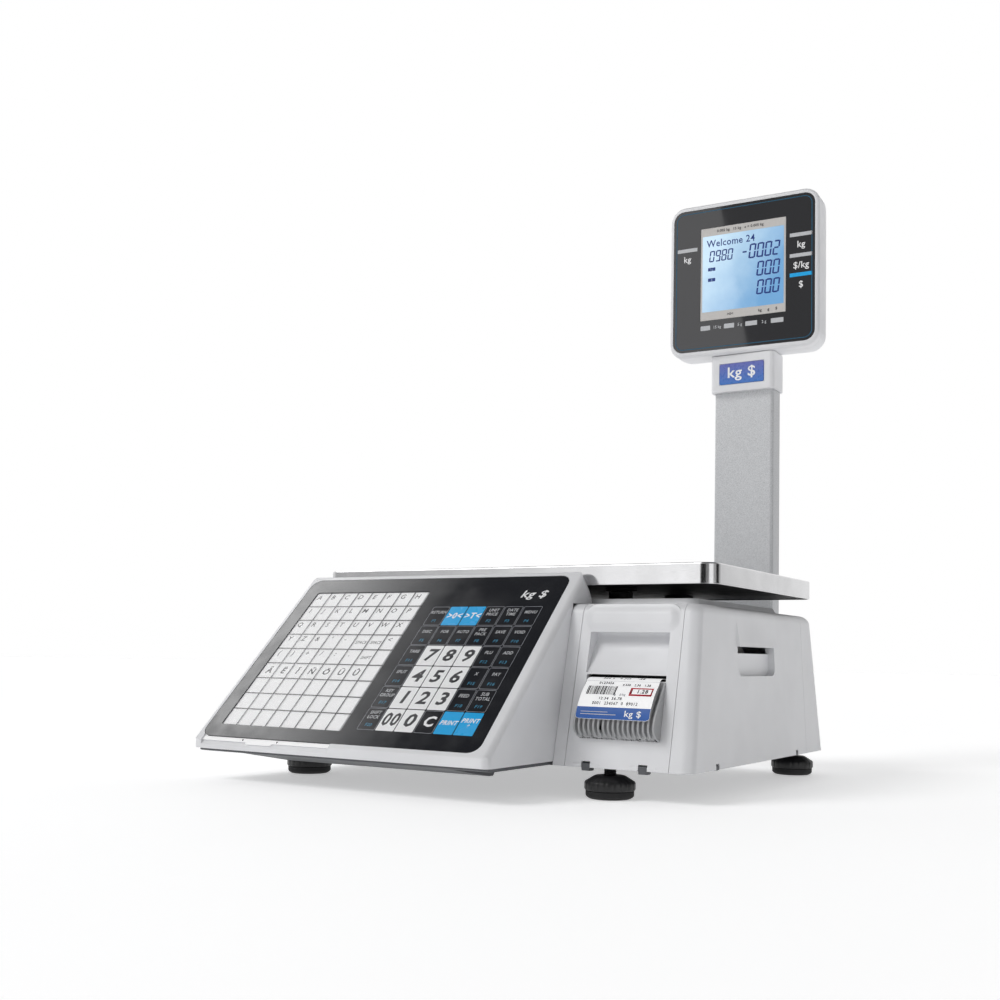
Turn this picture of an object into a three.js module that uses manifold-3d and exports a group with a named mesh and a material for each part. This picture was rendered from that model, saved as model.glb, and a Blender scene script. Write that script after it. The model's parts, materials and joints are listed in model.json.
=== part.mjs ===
// Retail price scale with a key console, a label printer and a display on a pole.
// Millimetres, +X to the operator's right, +Y away from the operator, +Z up.
// The origin is on the table, under the middle of the whole object's plan.
import * as THREE from 'three';
import { mergeVertices } from 'three/addons/utils/BufferGeometryUtils.js';
import Module from 'manifold-3d';

const wasm = await Module();
wasm.setup();

// ---------------------------------------------------------------- driving dimensions
const GAP = 0.3; // air between pieces that touch
const WALL = 3; // moulded wall

const BODY = { // tapered main housing: [bottom, top] pairs
  z: [23.2, 149.7],
  right: [205, 198],
  left: [-205, -198],
  front: [-141.85, -113.5],
  rear: [183.5, 165.5],
  frontRadius: 9,
  rearRadius: 20,
  topRadius: 8,
};
const DECK_SEAM_X = 186.3; // side door begins here on the deck and on the front
const REAR_SEAM_Y = 122.5; // top cover and side door end here
const DOOR_LEFT_X = 98.7; // left edge of the printer door
const DOOR_TOP_Y = -106; // rear edge of the printer door on the deck
const DECK_FRONT_Y = -88; // front edge of the deck behind the console
const PLATEAU = { x: [-186, 180], y: [-76, 121], top: 155.5, slope: 4, radius: 10 };

const CONSOLE = { left: -205, right: 88, front: -234, bottom: 26, lipTop: 33.4, back: -113.2 };
const KEYS = { // slanted key panel, lying in the console's upper face
  left: -198.8,
  right: 77.1,
  frontY: -230.7,
  frontZ: 36.7,
  length: 192.4,
  rise: 137.0,
  run: 135.05,
  radius: 10,
  recess: 2.6,
};
const SHEET = { left: -194.5, right: -50, front: -3.6, back: 176, low: -2.3, high: -1.8 };

const TRAY = { x: 0, y: 41.5, width: 394, depth: 248, top: 183.6, bottom: 166.5, radius: 13, sheet: 1.2 };
const POST = { dx: 84, dy: 62, radius: 5, top: 161.7, hole: 9 };
const CUP = { radius: 10.5, bottom: 157.6, top: 165 };

const FEET = {
  front_left: [-168.6, -129.6],
  front_right: [132.2, -129.6],
  rear_left: [-179.2, 158],
  rear_right: [179.2, 158],
};
const FOOT = { sole: 18.6, radius: 19.6, neck: 11, soleTop: 5.8, wheelTop: 17.5, stud: 5, studTop: 40 };
const PAN = { x: [-201.3, 200.2], y: [-137, 179.6], z: [22.6, 25.6] };

const SIDE_HINGE = { x: 203.2, z: 25.1, ears: [-92, 96], ear: 6 }; // ear: its width
const FRONT_HINGE = { y: -140, z: 25.1, ears: [117, 165], ear: 7 };
const HINGE = { barrel: 1.7, pin: 1.1, hole: 1.18, earTop: 26.6, notchTop: 27.8 };

const RECESS = { x: [107.7, 176], z: [95.5, 127], depth: 12 }; // printer door's finger recess
const LABEL_SLOT = { x: [108.7, 176.6], z: [89.5, 94] };
const COMB = { x: [109, 177], fin: 1.6, pitch: 6.64 };
const LABEL = { x: [111.5, 173.5], thickness: 0.4 };

const PULL = { y: [-40, 47], z: [94, 118], slot: 112.6, hoodTop: 140, inner: 194.5 }; // in the side door

const PORT_WINDOW = { x: [-78, 34], z: [42, 78] };
const INLET = { x: [-166, -136], z: [44, 68] };
const ROCKER = { x: [-124, -108], z: 56, half: 9.5, y: 173.6 };
const LEVEL = [-150, -52]; // spirit level on the deck

const CELL = { x: [-75, 75], y: 41.5, width: 36, z: [48.3, 86.3] };

const CHASSIS = { left: [92, 94], right: [181, 183] };
const MODULE = 1;
const GEARS = { x: [96, 100], platen: 20, idler: 30, pinion: 12 };
const PLATEN = { y: -106, z: 86, radius: 8, shaft: 3 };
const HEAD_PIVOT = { y: -72, z: 112, pin: 2 };
const LEVER = { y: -90, z: 118, x: [184, 189] };
const ROLL = { y: 30, z: 78, outer: 46, core: 19, x: [108, 168] };
const SPOOL = { y: -42, z: 112, radius: 13, x: [104, 176] };

const POLE = { x: 113.6, y: 206.15, width: 63.5, depth: 23.3, wall: 1.8, z: [50.3, 409.5], radius: 3 };
const COLLAR = { halfWidth: 34.2, y: [188.2, 220.4], z: [384, 422.4], spindle: 7 };
const HEAD = {
  x: 115.1,
  y: 184.6,
  turn: 0.05,
  width: 160,
  z: [423, 586],
  radius: 16,
  split: 12,
  depth: 46.2,
  wall: 2.6,
};
const SCREEN = { width: 151, height: 152, radius: 11, middle: 504.6 };
const BACK_SCREEN = { width: 122, height: 116, radius: 9 };
const LCD = { width: 91.5, height: 99, middle: 509.8 };
const BACK_LCD_HEIGHT = 87;

// ---------------------------------------------------------------- materials
function material(color, roughness, metalness = 0) {
  return new THREE.MeshStandardMaterial({ color, roughness, metalness });
}
const paint = {
  shell: material(0xe4e4e6, 0.45),
  underside: material(0x55575c, 0.6),
  overlay: material(0x26282f, 0.2),
  paper: material(0xf8f8f6, 0.8),
  board: material(0x1f5a3a, 0.5),
  steel: material(0xc8c9cb, 0.25, 1),
  zinc: material(0xaeb2b6, 0.45, 1),
  aluminium: material(0xb9bcc0, 0.4, 1),
  black: material(0x141416, 0.6),
  rubber: material(0x0e0e0f, 0.85),
  pole: material(0xc9cbce, 0.5, 0.6),
  screen: material(0x2b2c35, 0.15),
  lcd: material(0xa9d4f2, 0.3),
  badge: material(0x24539c, 0.4),
  grey: material(0x9b9da1, 0.5),
  lever: material(0x2e8f56, 0.45),
  nylon: material(0xe9e6da, 0.5),
  brass: material(0xb59a52, 0.4, 1),
  vial: material(0xc7d94a, 0.15),
};

// ---------------------------------------------------------------- solid helpers
function solidOf(geometry) {
  const bare = geometry.index ? geometry.toNonIndexed() : geometry.clone();
  for (const name of Object.keys(bare.attributes)) {
    if (name !== 'position') bare.deleteAttribute(name);
  }
  const merged = mergeVertices(bare, 1e-4);
  const vertProperties = Float32Array.from(merged.attributes.position.array);
  const triVerts = Uint32Array.from(merged.index.array);
  return new wasm.Manifold(new wasm.Mesh({ numProp: 3, vertProperties, triVerts }));
}

function geometryOf(solid) {
  const mesh = solid.getMesh();
  const geometry = new THREE.BufferGeometry();
  const corners = Float32Array.from(mesh.vertProperties);
  const triangles = Uint32Array.from(mesh.triVerts);
  geometry.setAttribute('position', new THREE.BufferAttribute(corners, 3));
  geometry.setIndex(new THREE.BufferAttribute(triangles, 1));
  geometry.computeVertexNormals();
  return geometry;
}

function join(...solids) {
  return solids.reduce((whole, solid) => whole.add(solid));
}

function cut(solid, ...tools) {
  return tools.reduce((rest, tool) => rest.subtract(tool), solid);
}

function box([x0, x1], [y0, y1], [z0, z1]) {
  const geometry = new THREE.BoxGeometry(x1 - x0, y1 - y0, z1 - z0);
  geometry.translate((x0 + x1) / 2, (y0 + y1) / 2, (z0 + z1) / 2);
  return solidOf(geometry);
}

function extrusion(points, depth) {
  const shape = new THREE.Shape(points.map(([a, b]) => new THREE.Vector2(a, b)));
  return new THREE.ExtrudeGeometry(shape, { depth, bevelEnabled: false });
}

// outline in (y, z), pushed along X
function prismX(points, [x0, x1]) {
  const geometry = extrusion(points, x1 - x0);
  const turn = new THREE.Matrix4().makeBasis(
    new THREE.Vector3(0, 1, 0),
    new THREE.Vector3(0, 0, 1),
    new THREE.Vector3(1, 0, 0),
  );
  return solidOf(geometry.applyMatrix4(turn).translate(x0, 0, 0));
}

// outline in (x, z), pushed along Y
function prismY(points, [y0, y1]) {
  const geometry = extrusion(points, y1 - y0);
  return solidOf(geometry.rotateX(Math.PI / 2).translate(0, y1, 0));
}

// outline in (x, y), pushed along Z
function prismZ(points, [z0, z1]) {
  return solidOf(extrusion(points, z1 - z0).translate(0, 0, z0));
}

function rod(axis, radius, [from, to], [a, b], segments = 16) {
  const geometry = new THREE.CylinderGeometry(radius, radius, to - from, segments);
  const middle = (from + to) / 2;
  if (axis === 'x') geometry.rotateZ(Math.PI / 2).translate(middle, a, b);
  if (axis === 'y') geometry.translate(a, middle, b);
  if (axis === 'z') geometry.rotateX(Math.PI / 2).translate(a, b, middle);
  return solidOf(geometry);
}

// rounds each corner of a polygon; radii may be one number or one for each corner
function rounded(points, radii, steps = 3) {
  const result = [];
  points.forEach(([x, y], i) => {
    const radius = Array.isArray(radii) ? radii[i] : radii;
    if (!radius) {
      result.push([x, y]);
      return;
    }
    const corner = new THREE.Vector2(x, y);
    const before = new THREE.Vector2(...points.at(i - 1)).sub(corner).normalize();
    const after = new THREE.Vector2(...points[(i + 1) % points.length]).sub(corner).normalize();
    const half = Math.acos(THREE.MathUtils.clamp(before.dot(after), -1, 1)) / 2;
    const inwards = before.clone().add(after).normalize();
    const centre = inwards.multiplyScalar(radius / Math.sin(half)).add(corner);
    const start = before.clone().multiplyScalar(radius / Math.tan(half)).add(corner).sub(centre);
    const end = after.clone().multiplyScalar(radius / Math.tan(half)).add(corner).sub(centre);
    const sweep = Math.atan2(start.cross(end), start.dot(end));
    for (let k = 0; k <= steps; k += 1) {
      const angle = start.angle() + (sweep * k) / steps;
      result.push([centre.x + radius * Math.cos(angle), centre.y + radius * Math.sin(angle)]);
    }
  });
  return result;
}

function rectangle([x0, x1], [y0, y1]) {
  return [[x0, y0], [x1, y0], [x1, y1], [x0, y1]];
}

// closed skin through rings of equal length, each a convex loop of [x, y, z]
function loft(rings) {
  const count = rings[0].length;
  const vertices = rings.flat(2);
  const faces = [];
  for (let r = 0; r + 1 < rings.length; r += 1) {
    for (let i = 0; i < count; i += 1) {
      const a = r * count + i;
      const b = r * count + ((i + 1) % count);
      faces.push(a, b, b + count, a, b + count, a + count);
    }
  }
  const last = (rings.length - 1) * count;
  for (let i = 1; i + 1 < count; i += 1) {
    faces.push(0, i + 1, i, last, last + i, last + i + 1);
  }
  const geometry = new THREE.BufferGeometry();
  geometry.setAttribute('position', new THREE.Float32BufferAttribute(vertices, 3));
  geometry.setIndex(faces);
  return solidOf(geometry);
}

function lathe(profile, segments = 20) {
  const points = profile.map(([radius, height]) => new THREE.Vector2(radius, height));
  return solidOf(new THREE.LatheGeometry(points, segments).rotateX(Math.PI / 2));
}

const scale = new THREE.Group();

function add(name, solid, finish, parent = scale) {
  const mesh = new THREE.Mesh(geometryOf(solid), finish);
  mesh.name = name;
  parent.add(mesh);
  return mesh;
}

// ---------------------------------------------------------------- main housing
function between([low, high], z) {
  return low + ((high - low) * (z - BODY.z[0])) / (BODY.z[1] - BODY.z[0]);
}

function bodyRing(z, inset, edge = 0) {
  const x = [between(BODY.left, z) + inset + edge, between(BODY.right, z) - inset - edge];
  const y = [between(BODY.front, z) + inset + edge, between(BODY.rear, z) - inset - edge];
  const front = Math.max(BODY.frontRadius - inset, 2);
  const rear = Math.max(BODY.rearRadius - inset, 2);
  return rounded(rectangle(x, y), [front, front, rear, rear]).map(([a, b]) => [a, b, z]);
}

// the housing's outer form, moved inwards by inset and open downwards when it is the cavity
function bodyForm(inset) {
  const top = BODY.z[1] - inset;
  const radius = BODY.topRadius - inset;
  const rings = [bodyRing(inset ? 0 : BODY.z[0], inset)];
  for (const angle of [0, 30, 60, 90]) {
    const turn = THREE.MathUtils.degToRad(angle);
    rings.push(bodyRing(top - radius * (1 - Math.sin(turn)), inset, radius * (1 - Math.cos(turn))));
  }
  return loft(rings);
}

const bodySkin = bodyForm(0).subtract(bodyForm(WALL));

// ---------------------------------------------------------------- base pan and covers
function basePan() {
  const corners = rounded(rectangle(PAN.x, PAN.y), [6, 6, 17, 17]);
  const parts = [prismZ(corners, PAN.z)];
  for (const [x, y] of Object.values(FEET)) {
    parts.push(rod('z', 7.2, [PAN.z[0], 31], [x, y]));
  }
  for (const y of SIDE_HINGE.ears) {
    const side = rectangle([196, SIDE_HINGE.x + 1.5], [PAN.z[0], HINGE.earTop]);
    const profile = rounded(side, [0, 1, 1, 1], 2);
    parts.push(prismY(profile, [y - SIDE_HINGE.ear / 2, y + SIDE_HINGE.ear / 2]));
  }
  for (const x of FRONT_HINGE.ears) {
    const profile = rounded(rectangle([FRONT_HINGE.y - 1.4, -134], [20.6, HINGE.earTop]), 1, 2);
    parts.push(prismX(profile, [x - FRONT_HINGE.ear / 2, x + FRONT_HINGE.ear / 2]));
  }
  const tools = Object.values(FEET).map(([x, y]) => rod('z', FOOT.stud + 0.16, [0, 60], [x, y], 16));
  for (const y of SIDE_HINGE.ears) {
    tools.push(rod('y', HINGE.hole, [y - 5, y + 5], [SIDE_HINGE.x, SIDE_HINGE.z], 16));
  }
  for (const x of FRONT_HINGE.ears) {
    tools.push(rod('x', HINGE.hole, [x - 5, x + 5], [FRONT_HINGE.y, FRONT_HINGE.z], 16));
  }
  return cut(join(...parts), ...tools);
}

function topCover() {
  const { x, y, top, slope, radius } = PLATEAU;
  const ring = (z, by) => rounded(
    rectangle([x[0] + by, x[1] - by], [y[0] + by, y[1] - by]),
    radius - by / 2,
  ).map(([a, b]) => [a, b, z]);
  const hill = (inset, low, high) => loft([ring(low, inset), ring(high, inset + slope)]);
  const region = join(
    box([-300, DECK_SEAM_X - 0.2], [DECK_FRONT_Y, REAR_SEAM_Y - 0.2], [0, 200]),
    box([CONSOLE.right + GAP, DOOR_LEFT_X - 0.2], [-300, 0], [0, 200]),
    box([CONSOLE.right + GAP, DECK_SEAM_X - 0.2], [DOOR_TOP_Y + 0.2, 0], [0, 200]),
    box([-300, -150], [CONSOLE.back + 0.4, 0], [0, BODY.z[1] - 12]),
  );
  const sheet = bodySkin.intersect(region);
  const holes = [];
  const collars = [];
  for (const [px, py] of posts()) {
    collars.push(rod('z', POST.hole + 2.5, [148, top + 1.4], [px, py]));
    holes.push(rod('z', POST.hole, [100, 200], [px, py]));
  }
  const levelPocket = rod('z', 9.3, [top - 3, top + 5], LEVEL);
  const shell = join(sheet, hill(0, BODY.z[1] - 1, top), ...collars);
  const hollow = hill(WALL, BODY.z[1] - WALL - 2, top - WALL);
  const floor = rod('z', 12, [top - 6.5, top - 1], LEVEL);
  return cut(join(cut(shell, hollow), floor), levelPocket, ...holes);
}

function posts() {
  const signs = [[-1, -1], [1, -1], [-1, 1], [1, 1]];
  return signs.map(([sx, sy]) => [TRAY.x + sx * POST.dx, TRAY.y + sy * POST.dy]);
}

function rearCover() {
  const sheet = bodySkin.intersect(box([-300, 300], [REAR_SEAM_Y + 0.2, 300], [0, 200]));
  const windows = [
    box(grow(PORT_WINDOW.x), [150, 200], grow(PORT_WINDOW.z)),
    box(grow(INLET.x), [150, 200], grow(INLET.z)),
    box([ROCKER.x[0] - 0.4, ROCKER.x[1] + 0.4], [150, 200], [ROCKER.z - 10.9, ROCKER.z + 10.9]),
  ];
  for (let i = 0; i < 7; i += 1) {
    windows.push(box([-60 + i * 14, -52 + i * 14], [150, 200], [104, 128]));
  }
  return cut(sheet, ...windows);
}

function grow([low, high], by = GAP) {
  return [low - by, high + by];
}

function portPanel() {
  const plate = bodySkin.intersect(box(PORT_WINDOW.x, [150, 200], PORT_WINDOW.z));
  const sockets = [
    { x: [-72, -56], z: [46, 60], depth: 14 },
    { x: [-50, -36], z: [46, 53], depth: 14 },
    { x: [-50, -36], z: [56, 63], depth: 14 },
    { x: [-30, -12], z: [46, 56], depth: 10 },
    { x: [-6, 6], z: [46, 58], depth: 12 },
    { x: [12, 24], z: [46, 58], depth: 12 },
  ];
  const wall = 1.5;
  const blocks = sockets.map(({ x, z, depth }) => box(grow(x, wall), [171 - depth, 177], grow(z, wall)));
  const holes = sockets.map(({ x, z, depth }) => box(x, [173 - depth, 200], z));
  return cut(join(plate, ...blocks), ...holes);
}

function powerInlet() {
  const body = bodyForm(0).intersect(box(INLET.x, [156, 200], INLET.z));
  const socket = prismY(rounded(rectangle([-163, -139], [48, 64]), [0, 0, 5, 5], 1), [162, 200]);
  const places = [[-157, 52], [-151, 57], [-145, 52]];
  const pins = places.map(([x, z]) => box([x - 1, x + 1], [161, 174], [z, z + 4]));
  return join(cut(body, socket), ...pins);
}

function powerRocker() {
  const tilt = THREE.MathUtils.degToRad(8);
  const outline = [[-3, -7], [5.4, -ROCKER.half], [3.4, 0], [5.4, ROCKER.half], [-3, 7]];
  const turned = outline.map(([a, b]) => [
    ROCKER.y + a * Math.cos(tilt) - b * Math.sin(tilt),
    ROCKER.z + a * Math.sin(tilt) + b * Math.cos(tilt),
  ]);
  return prismX(turned, ROCKER.x);
}

// ---------------------------------------------------------------- doors
function sideDoor() {
  const { x, z, ears, ear } = SIDE_HINGE;
  const region = box([DECK_SEAM_X + 0.2, 300], [-300, REAR_SEAM_Y - 0.2], [0, 200]);
  const face = (h) => between(BODY.right, h);
  const lip = PULL.z[1];
  const outline = [
    [face(PULL.hoodTop), PULL.hoodTop],
    [face(PULL.hoodTop) - 2.5, PULL.hoodTop],
    [face(lip) - 2.6, lip],
    [face(lip) + 2.6, lip],
  ];
  const hood = prismY(outline, grow(PULL.y, 3));
  const pocket = box([PULL.inner - 2.5, 199], grow(PULL.y, 2.5), [PULL.z[0] - 2.5, 130]);
  const hollow = join(
    prismX(rounded(rectangle(PULL.y, PULL.z), [7, 7, 0, 0]), [PULL.inner, 220]),
    box([PULL.inner, 196.4], PULL.y, [100, 127.5]),
    box([PULL.inner - 6, PULL.inner + 1], PULL.y, [PULL.slot, 127.5]),
  );
  const barrels = ears.map((y) => rod('y', HINGE.barrel, [y - 12, y + 12], [x, z], 16));
  const notch = [0, HINGE.notchTop];
  const notches = ears.map((y) => box([x - 9, x + 9], grow([y - ear / 2, y + ear / 2]), notch));
  const pins = ears.map((y) => rod('y', HINGE.pin, [y - 6, y + 6], [x, z], 16));
  const shell = join(bodySkin.intersect(region), hood, pocket.intersect(bodyForm(1)), ...barrels);
  return join(cut(shell, hollow, ...notches), ...pins);
}

function printerDoor() {
  const { y, z, ears, ear } = FRONT_HINGE;
  const face = (h) => between(BODY.front, h);
  const region = box([DOOR_LEFT_X + 0.2, DECK_SEAM_X - 0.2], [-300, DOOR_TOP_Y - 0.2], [0, 200]);
  const [low, high] = RECESS.z;
  const deep = face(high) + RECESS.depth;
  const wedge = (edge) => {
    const outline = [
      [face(low) - 20, low - edge],
      [face(low) + 1.5 + edge, low - edge],
      [deep + edge, high - 4],
      [deep + edge, high + edge],
      [face(high) - 20, high + edge],
    ];
    return prismX(outline, grow(RECESS.x, edge));
  };
  const pocket = wedge(2.4).intersect(bodyForm(1));
  const slot = box(LABEL_SLOT.x, [-150, -115], LABEL_SLOT.z);
  const barrels = ears.map((x) => rod('x', HINGE.barrel, [x - 11, x + 11], [y, z], 16));
  const notch = [0, HINGE.notchTop];
  const notches = ears.map((x) => box(grow([x - ear / 2, x + ear / 2]), [y - 9, y + 9], notch));
  const pins = ears.map((x) => rod('x', HINGE.pin, [x - 6, x + 6], [y, z], 16));
  const shell = join(bodySkin.intersect(region), pocket, ...barrels);
  return join(cut(shell, wedge(0), slot, ...notches), ...pins);
}

// side outline of the ribbed nose that the label comes out over
function combOutline(out) {
  const face = (h) => between(BODY.front, h) - GAP;
  return [
    [face(88.9), 88.9],
    [face(80) - 4.5 - out, 80],
    [face(68) - 10.5 - out, 68],
    [face(58) - 13 - out, 58.5],
    [face(52) - 11.5 - out, 52],
    [face(47) - 5, 47],
    [face(45), 45],
  ];
}

function peelComb() {
  const parts = [prismX(combOutline(-3), COMB.x)];
  const count = Math.floor((COMB.x[1] - COMB.x[0]) / COMB.pitch);
  for (let i = 0; i <= count; i += 1) {
    const x = COMB.x[0] + i * COMB.pitch;
    parts.push(prismX(combOutline(0), [x, x + COMB.fin]));
  }
  return join(...parts);
}

function issuedLabel() {
  const top = [[-116, 91.3], [-127.6, 91.3], [-132.6, 86.4], [-139.6, 79], [-146.2, 68.4], [-149, 61]];
  const under = top.map(([y, z], i) => [y + (i < 2 ? 0 : 0.3), z - LABEL.thickness]).reverse();
  return prismX([...top, ...under], LABEL.x);
}

// ---------------------------------------------------------------- key console
const keyGroup = new THREE.Group();
const slant = Math.atan2(KEYS.rise, KEYS.run);
keyGroup.position.set(0, KEYS.frontY, KEYS.frontZ);
keyGroup.rotation.x = slant;
scale.add(keyGroup);

// from the key panel's own axes (x, along the slope, out of the panel) to the scale's
function onSlant(solid) {
  const degrees = THREE.MathUtils.radToDeg(slant);
  return solid.rotate([degrees, 0, 0]).translate([0, KEYS.frontY, KEYS.frontZ]);
}

function slantPoint(s, n) {
  return [
    KEYS.frontY + s * Math.cos(slant) - n * Math.sin(slant),
    KEYS.frontZ + s * Math.sin(slant) + n * Math.cos(slant),
  ];
}

function consoleHousing() {
  const { left, right, front, bottom, back } = CONSOLE;
  const ridge = slantPoint(197, 0);
  const under = slantPoint(191, -5);
  const lip = slantPoint(-0.5, -5);
  const brow = [ridge[0] + 4.5, ridge[1] - 0.6];
  const outline = rounded(
    [
      [front, bottom], slantPoint(-4.7, 0), ridge, brow,
      [-80.3, 151], [-80.3, 150.1], [back, 150.1], [back, bottom],
    ],
    [1.2, 2, 3, 3, 0, 0, 0, 0],
  );
  const hollow = [
    [front + WALL, 0], [front + WALL, lip[1] - 2.5], lip, under,
    [-86.5, 165], [-83.4, 151], [-83.4, 120], [-60, 120], [-60, 0],
  ];
  const topPlan = rounded(rectangle([left, right], [-60, 199.5]), [0, 0, 13, 13]);
  const endView = rounded(rectangle([left, right], [-250, 0]), [0, 0, 4, 4], 3);
  const lipPlan = rounded(rectangle([left, right], [front, 100]), [7, 7, 0, 0]);
  const corners = onSlant(prismZ(topPlan, [-200, 20]));
  const edges = onSlant(prismY(endView, [-90, 260]));
  const lipCorners = prismZ(lipPlan, [0, 300]);
  const outer = prismX(outline, [left, right]).intersect(corners).intersect(edges);
  const recess = onSlant(prismZ(
    rounded(rectangle([KEYS.left - GAP, KEYS.right + GAP], [-GAP, KEYS.length + GAP]), KEYS.radius),
    [-KEYS.recess, 10],
  ));
  const mouth = onSlant(box([SHEET.left - 0.4, SHEET.right - 9], [-20, 8], [-KEYS.recess, 10]));
  const ribbon = onSlant(box([-60, -20], [150, 160], [-20, 0]));
  return cut(
    outer.intersect(lipCorners),
    prismX(hollow, [left + WALL, right - WALL]),
    recess,
    mouth,
    ribbon,
  );
}

function consoleBottom() {
  const low = PAN.z[0] + 0.4;
  const { bottom } = CONSOLE;
  const front = CONSOLE.front + 3.4;
  const span = [CONSOLE.left + 3.4, CONSOLE.right - 3.4];
  const back = PAN.y[0] - 0.5;
  const lip = [[front, bottom], [front, bottom - 1.6]];
  const heel = [[back, low], [back, bottom]];
  const keel = [...lip, [-169.5, 14], [-163.5, 14], [-157.5, low], ...heel];
  const within = [[-225, 27], [-225, 26.4], [-168.8, 17], [-164.6, 17], [-158, 26.4], [-158, 27]];
  const plate = prismX([...lip, [-222, low], ...heel], span);
  const corners = prismZ(rounded(rectangle(span, [front, -100]), [4.5, 4.5, 0, 0]), [0, 40]);
  const hump = prismX(keel, [-158, 48]);
  return cut(join(plate.intersect(corners), hump), prismX(within, [-155, 45]));
}

function keypadOverlay() {
  const outline = rounded(rectangle([KEYS.left, KEYS.right], [0, KEYS.length]), KEYS.radius);
  return prismZ(outline, [-1.5, -0.2]);
}

function keySheet() {
  const tab = rounded(rectangle([-146, -118], [SHEET.front - 2, SHEET.front + 5]), [2, 2, 0, 0], 2);
  const page = rectangle([SHEET.left, SHEET.right - 10], [SHEET.front, SHEET.back]);
  return join(prismZ(page, [SHEET.low, SHEET.high]), prismZ(tab, [SHEET.low, SHEET.high]));
}

function keyMembrane() {
  const outline = rectangle([SHEET.right - 8, KEYS.right - 3], [3, KEYS.length - 3]);
  return prismZ(rounded(outline, 4, 2), [SHEET.low, SHEET.high]);
}

function keypadBoard() {
  const board = box([-150, 62], [24, 150], [-9.6, -8]);
  const places = [[-110, 60], [-60, 100], [-10, 60], [30, 110]];
  const chips = places.map(([x, s]) => box([x, x + 16], [s, s + 12], [-12, -8.5]));
  const plugs = [-95, 10].map((x) => box([x, x + 30], [132, 140], [-15, -8.5]));
  return join(board, ...chips, ...plugs);
}

// ---------------------------------------------------------------- weighing works
function loadCell() {
  const y = [CELL.y - CELL.width / 2, CELL.y + CELL.width / 2];
  const middle = (CELL.z[0] + CELL.z[1]) / 2;
  const bar = box(CELL.x, y, CELL.z);
  const eyes = [-16, 16].map((x) => rod('y', 13, [y[0] - 5, y[1] + 5], [x, middle], 20));
  const slot = box([-16, 16], [y[0] - 5, y[1] + 5], [middle - 5, middle + 5]);
  return cut(bar, ...eyes, slot);
}

function traySpider() {
  const length = Math.hypot(POST.dx, POST.dy) + 12;
  const angle = THREE.MathUtils.radToDeg(Math.atan2(POST.dy, POST.dx));
  const arm = (turn) => box([-length, length], [-10, 10], [120, 130]).rotate([0, 0, turn]);
  const arms = join(arm(angle), arm(-angle)).translate([TRAY.x, TRAY.y, 0]);
  const boss = box([39, CELL.x[1]], [CELL.y - 17, CELL.y + 17], [CELL.z[1] + GAP, 121]);
  const hub = box([-39, CELL.x[1]], [CELL.y - 17, CELL.y + 17], [118, 130]);
  const pegs = posts().flatMap((at) => [
    rod('z', POST.radius, [125, POST.top], at, 16),
    rod('z', 9, [119.5, 130], at, 16),
  ]);
  return join(arms, boss, hub, ...pegs);
}

function trayCup([x, y]) {
  const bore = POST.radius + 0.2;
  const roof = POST.top + GAP;
  const profile = [
    [0, roof],
    [bore, roof],
    [bore, CUP.bottom],
    [CUP.radius, CUP.bottom],
    [CUP.radius, CUP.top - 1.5],
    [CUP.radius - 1.5, CUP.top],
    [0, CUP.top],
  ];
  return lathe(profile, 16).translate([x, y, 0]);
}

function trayOutline(inset) {
  const { x, y, width, depth, radius } = TRAY;
  const across = [x - width / 2 + inset, x + width / 2 - inset];
  const along = [y - depth / 2 + inset, y + depth / 2 - inset];
  return rounded(rectangle(across, along), radius - inset);
}

function platter() {
  const { bottom, top, sheet } = TRAY;
  const edge = 1.6;
  const ring = (inset, z) => trayOutline(inset).map(([a, b]) => [a, b, z]);
  const outer = loft([ring(0, bottom), ring(0, top - edge), ring(0.5, top - 0.4), ring(edge, top)]);
  return outer.subtract(prismZ(trayOutline(sheet), [0, top - sheet]));
}

function subTray() {
  const { x, y, width } = TRAY;
  const bottom = TRAY.bottom + 1;
  const floor = bottom + 4;
  const top = TRAY.top - TRAY.sheet - 0.2;
  const across = [x - width / 2 + 12, x + width / 2 - 12];
  const plate = prismZ(trayOutline(1.6), [bottom, floor]);
  const beams = [-1, 1].map((side) => {
    const middle = y + side * POST.dy;
    return box(across, [middle - 9, middle + 9], [floor - 0.5, top]);
  });
  const sockets = posts().map(([px, py]) => rod('z', 14, [CUP.top + GAP, floor - 0.5], [px, py]));
  return join(plate, ...beams, ...sockets);
}

// ---------------------------------------------------------------- electronics
function mainBoard() {
  const board = box([-194, -134], [-84, 108], [44, 45.6]);
  const items = [
    box([-190, -166], [-60, -36], [45, 49]),
    box([-186, -170], [-10, 6], [45, 48]),
    box([-188, -150], [40, 46], [45, 54]),
    box([-160, -140], [-70, -50], [45, 58]),
    box([-156, -138], [70, 100], [45, 57]),
    rod('z', 6, [45, 62], [-180, 86], 12),
    rod('z', 6, [45, 62], [-180, 70], 12),
  ];
  const corners = [[-190, -80], [-138, -80], [-190, 104], [-138, 104]];
  const stands = corners.map((at) => rod('z', 3, [26, 45], at, 10));
  return join(board, ...items, ...stands);
}

function powerSupply() {
  const shell = box([-112, -30], [121, 153], [26, 68]);
  const slots = [];
  for (let i = 0; i < 6; i += 1) {
    slots.push(box([-104 + i * 11, -98 + i * 11], [120, 123], [36, 60]));
  }
  return cut(shell, ...slots);
}

// ---------------------------------------------------------------- printer
function gearOutline(teeth, phase) {
  const pitch = (teeth * MODULE) / 2;
  const outer = pitch + MODULE * 0.85;
  const root = pitch - MODULE * 1.2;
  const half = Math.PI / teeth;
  const points = [];
  for (let i = 0; i < teeth; i += 1) {
    const middle = phase + (i * 2 * Math.PI) / teeth;
    const shape = [[root, -0.62], [outer, -0.2], [outer, 0.2], [root, 0.62]];
    for (const [radius, share] of shape) {
      const angle = middle + share * half;
      points.push([radius * Math.cos(angle), radius * Math.sin(angle)]);
    }
  }
  return points;
}

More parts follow.
